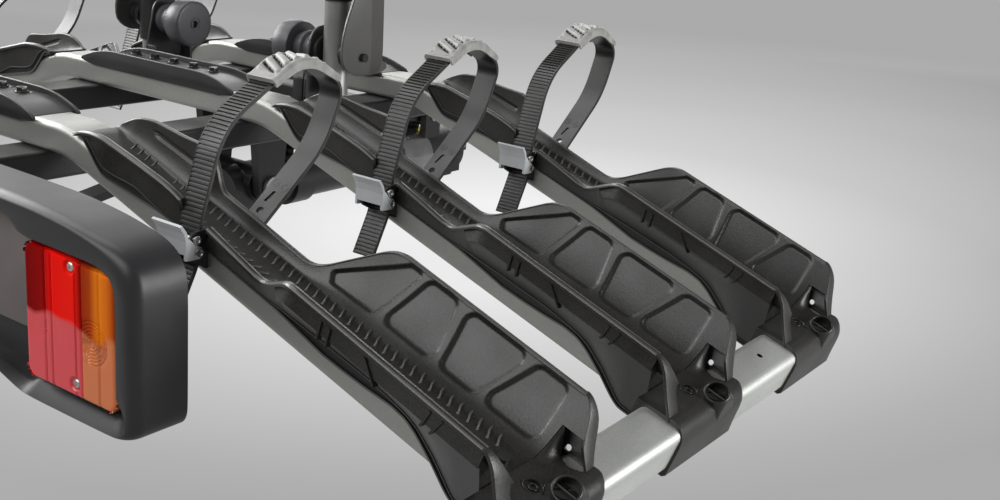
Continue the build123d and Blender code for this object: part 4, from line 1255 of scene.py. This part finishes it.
def lampDepth(v, x, z):
    # how deep the lens lies below its highest surface
    e = edgeDistance(lampCore, x, z) - v["corner"]
    drop = v["depth"] if e > 0.05 else 0.0
    inside = -e
    if 0 <= inside < v["round"]:
        drop += v["round"] - sqrt(max(0.0, v["round"] ** 2 - (v["round"] - inside) ** 2))
    for at, deep in v["grooves"]:
        drop += deep * max(0.0, 1 - abs(x - at) / 1.1)
    for cx, cz, reach, amount in v["rings"]:
        far = hypot(x - cx, z - cz)
        if far < reach and (x > v["split"]) == (cx > v["split"]):
            drop += amount * (0.5 - 0.5 * cos(2 * pi * far / v["ringPitch"])) * smooth01((reach - far) / 2)
    for sx, sz in v["screws"]:
        drop += 1.6 * smooth01((5.2 - hypot(x - sx, z - sz)) / 1.2)
    return drop


def lampCorners(v):
    # centres of the lens's rounded corners; the outer top one is a little lower
    (x0, x1), (z0, z1), r = v["x"], v["z"], v["corner"]
    return [(x0 + r, z0 + r), (x1 - r, z0 + r), (x1 - r, z1 - r - v["slope"]), (x0 + r, z1 - r)]


lampCore = lampCorners(lamp)


def lampPart(v, x0, x1):
    countX, countZ = int((x1 - x0) / v["cell"]) + 1, int((v["z"][1] - v["z"][0]) / v["cell"]) + 1
    verts, faces = [], []
    for j in range(countZ + 1):
        z = v["z"][0] + (v["z"][1] - v["z"][0]) * j / countZ
        for i in range(countX + 1):
            x = x0 + (x1 - x0) * i / countX
            # keep the outer rows on the rounded outline
            e = edgeDistance(lampCore, x, z) - v["corner"]
            px, pz = x, z
            if e > 0:
                cx = min(max(x, lampCore[0][0]), lampCore[1][0])
                cz = min(max(z, lampCore[0][1]), lampCore[3][1])
                away = Vector((x - cx, z - cz))
                if away.length > 1e-6:
                    away = away.normalized() * (away.length - e)
                    px, pz = max(x0, min(x1, cx + away.x)), cz + away.y
            verts.append((px, v["surface"] + min(v["round"], lampDepth(v, px, pz)), pz))
    row = countX + 1
    for j in range(countZ):
        for i in range(countX):
            faces.append((j * row + i, j * row + i + 1, (j + 1) * row + i + 1, (j + 1) * row + i))
    border = [i for i in range(row)] + [j * row + countX for j in range(1, countZ + 1)]
    border += [countZ * row + i for i in range(countX - 1, -1, -1)]
    border += [j * row for j in range(countZ - 1, 0, -1)]
    base = len(verts)
    verts += [(verts[i][0], v["surface"] + v["depth"], verts[i][2]) for i in border]
    n = len(border)
    faces += [(border[k], border[(k + 1) % n], base + (k + 1) % n, base + k) for k in range(n)]
    faces.append(tuple(base + k for k in range(n))[::-1])
    return verts, faces


def lampScrew(v, sx, sz):
    y = v["surface"] + 1.4
    profile = [(3.3, 3), (3.3, 0.4), (2.9, -0.4), (2.2, -0.8), (1.2, -0.95), (0.9, 0.3), (0.01, 0.3)]
    return turned(profile, lambda a, b, h: (sx + a, y + h, sz + b), 28)


platePanel = {"z": (46.0, 124.6), "half": 283.0, "y": (-757.5, -754.0)}


def plateOutline(v):
    half = [(v["half"], v["z"][0]), (v["half"], 112.4), (279.6, 112.8), (272.6, 118.8), (263.8, v["z"][1])]
    return half + [(-x, z) for x, z in half[::-1]]


def addBoard(v):
    def flat(x, z, y):
        return (x, y, z)

    floor = prism(wholeOutline(v["opening"]), v["floorY"] - 0.5, v["floorY"] + 1.5, flat)
    back = prism(wholeOutline(v["rear"]), v["backY"], v["backY"] + 2.4, flat)
    plate = prism(plateOutline(platePanel), *platePanel["y"], flat)
    shellMesh = meshFrom("boardShell", *boardShell(v), mats["boardPlastic"], 40)
    placePiece("boardShell", shellMesh, "platform", "light_housing")
    floorMesh = meshFrom("boardFloor", *floor, mats["boardPlastic"], 30)
    placePiece("boardFloor", floorMesh, "platform")
    backMesh = meshFrom("boardBack", *back, mats["boardPlastic"], 30)
    placePiece("boardBack", backMesh, "platform", "light_back")
    plateMesh = meshFrom("platePanel", *plate, mats["plateTaupe"], 30, 0.6)
    placePiece("platePanel", plateMesh, "platform", "plate_panel")


def addLamps(v):
    parts = {    # shape, finish, slot and the node that it stands for
        "redLens": (lampPart(v, v["x"][0], v["split"]), "lensRed", "red_lens", "red_lenses"),
        "amberLens": (lampPart(v, v["split"], v["x"][1]), "lensAmber", "amber_lens", "amber_lenses"),
        "lensScrews": (gather([lampScrew(v, *s) for s in v["screws"]]), "zinc", "zinc", "lens_screws"),
    }
    for side, sign in sideSign.items():
        for name, ((verts, faces), finish, slot, node) in parts.items():
            verts = [(sign * x, y, z) for x, y, z in verts]
            mesh = meshFrom(f"{name}_{side}", verts, faces, mats[finish], 50, None, 0.12)
            placePiece(f"{name}_{side}", mesh, "platform", node)


addBoard(board)
addLamps(lamp)
print("light board ready")

grip = {
    # face, back and the hub's profile are measured along x
    "y": -325.0, "z": 176.0, "radius": 24.5, "face": 69.0, "back": 90.0,
    "hub": [(14.5, 90), (14.5, 95), (16.5, 97), (16.5, 101), (13.5, 103), (13.5, 107), (15.5, 109),
            (15.5, 113.5)],
    "socket": 3.6,
}


def knobTurned(v):
    r, f, b, hole = v["radius"], v["face"], v["back"], v["socket"]
    profile = [(0.01, v["hub"][-1][1])] + v["hub"][::-1] + [(r - 4, b), (r - 1, b - 0.6), (r, b - 2.5)]
    profile += [(r, f + 3.5), (r - 0.8, f + 1.4), (r - 2.6, f + 0.3), (r - 5, f), (7.2, f - 0.3)]
    profile += [(6.6, f + 0.3), (hole + 1.6, f + 0.3), (hole + 1.2, f - 0.8), (hole + 0.2, f - 0.8)]
    profile += [(hole, f + 4), (0.01, f + 4)]
    return turned(profile, lambda a, c, h: (h, v["y"] + a, v["z"] + c), 56)


def addKnobs(v):
    mesh = meshFrom("gripWheel", *knobTurned(v), mats["knobGrey"], 34)
    for side, sideMesh in (("right", mesh), ("left", mirrored(mesh))):
        placePiece(f"gripWheel_{side}", sideMesh, f"knob_{side}", f"hoop_knob_{side}")


addKnobs(grip)
print("grip wheels ready")

post = {
    "y": -325.0, "half": 25.0, "low": 119.0, "top": 200.0, "round": 18.0, "waist": 150.0,
    "plate": (114.0, 117.0), "flange": 102.0, "sole": 92.0, "steel": 3.0,    # x of the faces, thickness
    "boss": 15.0, "pivotZ": 176.0, "leg": 134.0, "bore": 12.6, "sleeve": 15.4, "sleeveTop": 286.0,
    "sleeveLow": {"right": 226.0, "left": 152.0},   # the left one reaches down to the pivot
}


def bracketPlate(v):
    def onPlate(y, z, x):
        return (x, y, z)

    y, low, r, thick = v["y"], v["low"], v["round"], v["steel"]
    rear, front = y - v["half"], y + v["half"]
    outline = [(rear, low), (rear, v["waist"])]
    outline += [(y - r * cos(pi * k / 12), v["top"] - r + r * sin(pi * k / 12)) for k in range(13)]
    outline += [(front, v["waist"]), (front, low)]
    parts = [prism(outline, *v["plate"], onPlate)]
    for y0, y1 in ((rear, rear + thick), (front - thick, front)):
        flange = [(y0, low), (y1, low), (y1, v["waist"]), (y0, v["waist"])]
        parts.append(prism(flange, v["flange"], v["plate"][1], onPlate))
    sole = [(rear, low), (front, low), (front, low + thick), (rear, low + thick)]
    return parts + [prism(sole, v["sole"], v["plate"][1], onPlate)]


def bracketBoss(v):
    face = v["plate"][1]
    profile = [(v["boss"], face), (v["boss"], face + 3.4), (v["boss"] - 0.6, face + 4), (0.01, face + 4)]
    return turned(profile, lambda a, b, h: (h, v["y"] + a, v["pivotZ"] + b), 40)


def sleeve(v, low):
    r, top = v["sleeve"], v["sleeveTop"]
    profile = [(v["bore"], low), (r - 0.8, low), (r, low + 1.2), (r, top - 1.2), (r - 0.8, top),
               (v["bore"], top)]
    return turned(profile, lambda a, b, h: (v["leg"] + a, v["y"] + b, h), 40)


def addPosts(v):
    made = {"hoopPost": (meshFrom("hoopPost", *gather(bracketPlate(v)), mats["blackSteel"], 34, 0.7),
                         "hoop_brackets"),
            "postBoss": (meshFrom("postBoss", *bracketBoss(v), mats["blackSteel"], 34), None)}
    for side, sign in sideSign.items():
        for name, (mesh, node) in made.items():
            sideMesh = mesh if sign > 0 else mirrored(mesh)
            placePiece(f"{name}_{side}", sideMesh, "platform", node)
        verts, faces = sleeve(v, v["sleeveLow"][side])
        mesh = meshFrom(f"hoopSleeve_{side}", [(sign * x, y, z) for x, y, z in verts], faces,
                        mats["blackPlastic"], 34)
        placePiece(f"hoopSleeve_{side}", mesh, "hoop", "hoop_sleeves")


addPosts(post)
print("hoop posts ready")

camLever = {
    # inner to right are the x of its faces
    "y": -325.0, "z": 176.0, "inner": 163.6, "outer": 169.0, "left": 166.4, "right": 165.6,
    # outline seen from the outside, about the pivot: height, rearmost, ridge, foremost
    "slices": [(-17.6, -4, 9, 20), (-16.6, -9, 9, 25), (-14, -15.5, 9.5, 29), (-10, -21, 10.5, 31),
               (-5, -25, 10.8, 32), (1, -26.6, 10.8, 32.6), (9, -26.8, 10.6, 32.6),
               (20, -25.4, 10.2, 32.2), (34, -21.2, 9.8, 31.8), (54, -12.8, 9.3, 31), (80, -4, 8.6, 28),
               (104, 0, 8, 23), (113, 3, 7.6, 18), (115.4, 5.5, 7.4, 13)],
    "foot": [(29, -4), (38, -9), (39.5, -13.4), (30, -17.4), (20, -17.6), (24, -6)],
    "nut": (11.0, 148.0, 162.8), "nutBore": 8.6,    # radius and x of the nut's ends
}


def leverShell(v):
    rings = []
    for h, back, ridge, ahead in v["slices"]:
        ring = [(v["inner"], back + 0.6), (v["left"] - 0.8, back), (v["left"], back + 0.9),
                (v["outer"], ridge - 0.4), (v["outer"], ridge + 0.4), (v["right"], ahead - 0.9),
                (v["right"] - 0.8, ahead), (v["inner"], ahead - 0.6)]
        rings.append([(x, v["y"] + y, v["z"] + h) for x, y in ring])
    return lofted(rings)


def leverFoot(v):
    outline = [(v["y"] + y, v["z"] + z) for y, z in v["foot"]]
    return prism(outline, v["inner"] - 6, v["inner"] + 1.4, lambda a, b, x: (x, a, b))


def leverNut(v):
    r, x0, x1 = v["nut"]
    profile = [(v["nutBore"], x0), (r - 0.8, x0), (r, x0 + 0.8), (r, x0 + 5.4), (r - 1.6, x0 + 6.2),
               (r - 1.6, x0 + 8.0), (r, x0 + 8.8), (r, x1 - 0.8), (r - 0.8, x1), (v["nutBore"], x1)]
    return turned(profile, lambda a, b, h: (h, v["y"] + a, v["z"] + b), 36)


def addLevers(v):
    lever = meshFrom("camLever", *gather([leverShell(v), leverFoot(v)]), mats["camGrey"], 30)
    nut = meshFrom("leverNut", *leverNut(v), mats["blackPlastic"], 34)
    for side, turnedOver in (("right", False), ("left", True)):
        sideLever, sideNut = (mirrored(m) if turnedOver else m for m in (lever, nut))
        placePiece(f"camLever_{side}", sideLever, f"cam_lever_{side}", f"hoop_lever_{side}")
        placePiece(f"leverNut_{side}", sideNut, "hoop")


addLevers(camLever)
print("cam levers ready")

barrel = {
    "z": 10.0, "radius": 31.6, "from": -84.0, "to": -26.0, "round": 9.0,
    "mark": (9.0, 17.0, -37.5, -30.5, 40.5, 46.0),   # yellow mark: x, y and z ranges
}


def barrelTurned(v):
    r, b = v["radius"], v["round"]
    profile = [(26.0, v["from"]), (r - 0.8, v["from"]), (r, v["from"] + 0.8)]
    for k in range(9):
        a = pi / 2 * k / 8
        profile.append((r - b + b * cos(a), v["to"] - b + b * sin(a)))
    return turned(profile + [(20.0, v["to"])], lambda a, c, h: (a, h, v["z"] + c), 64)


def barrelMark(v):
    x0, x1, y0, y1, z0, z1 = v["mark"]
    outline = [(x0, z0), (x1, z0), (x1, z1 - 1.5), (x1 - 1.5, z1), (x0, z1)]
    return prism(outline, y0, y1, lambda x, z, y: (x, y, z))


def addBarrel(v):
    body = meshFrom("couplingBarrel", *barrelTurned(v), mats["polished"], 34)
    placePiece("couplingBarrel", body, "tow_mount")
    mark = meshFrom("couplingMark", *barrelMark(v), mats["markYellow"], 34, 0.5)
    placePiece("couplingMark", mark, "tow_mount")


addBarrel(barrel)
print("coupling ready")

crossbar = {
    "u": 470.0, "w": -14.6, "wide": 38.0, "high": 37.2, "corner": 7.0,    # outline in the tray's frame
    "rear": -672.0, "front": -168.0,    # the front end stays inside the tray's end block
    "cap": 3.0, "hole": (469.2, -303.8, 2.6, 22.0),    # u, y, radius and depth
}


def barOutline(v):
    spots = []
    for quarter in range(4):
        middle = pi / 2 * (quarter + 0.5)
        u = v["u"] + (1 if cos(middle) > 0 else -1) * (v["wide"] / 2 - v["corner"])
        w = v["w"] + (1 if sin(middle) > 0 else -1) * (v["high"] / 2 - v["corner"])
        # the arc, and a point on the flat at each end of it
        for k, past in [(0, -0.5)] + [(k, 0) for k in range(9)] + [(8, 0.5)]:
            a = pi / 2 * (quarter + k / 8)
            spots.append((u + v["corner"] * cos(a) - past * sin(a),
                          w + v["corner"] * sin(a) + past * cos(a)))
    return spots


def barLength(outline, y0, y1):
    return prism(outline, y0, y1, lambda u, w, y: trayPlace(u, y, w))


def addCrossbars(v):
    outline = barOutline(v)
    u0, y0, r, deep = v["hole"]
    top = v["w"] + v["high"] / 2
    drill = turned([(0.0001, top - deep), (r, top - deep), (r, top + 4), (0.0001, top + 4)],
                   lambda a, b, w: trayPlace(u0 + a, y0 + b, w), 24)
    tube = meshFrom("barTube", *barLength(outline, v["rear"], v["front"]), mats["barAluminium"], 30)
    tube = cutMesh(tube, drill)
    ends = [barLength(outline, y, y + way * v["cap"]) for y, way in ((v["rear"], -1), (v["front"], 1))]
    cap = meshFrom("barCap", *gather(ends), mats["blackPlastic"], 30, 0.6)
    for side, sideTube in (("right", tube), ("left", mirrored(tube))):
        placePiece(f"barTube_{side}", sideTube, "platform", f"crossbar_{side}")
    for side, sideCap in (("right", cap), ("left", mirrored(cap))):
        placePiece(f"barCap_{side}", sideCap, "platform", "crossbar_caps")


addCrossbars(crossbar)
print("crossbars ready")
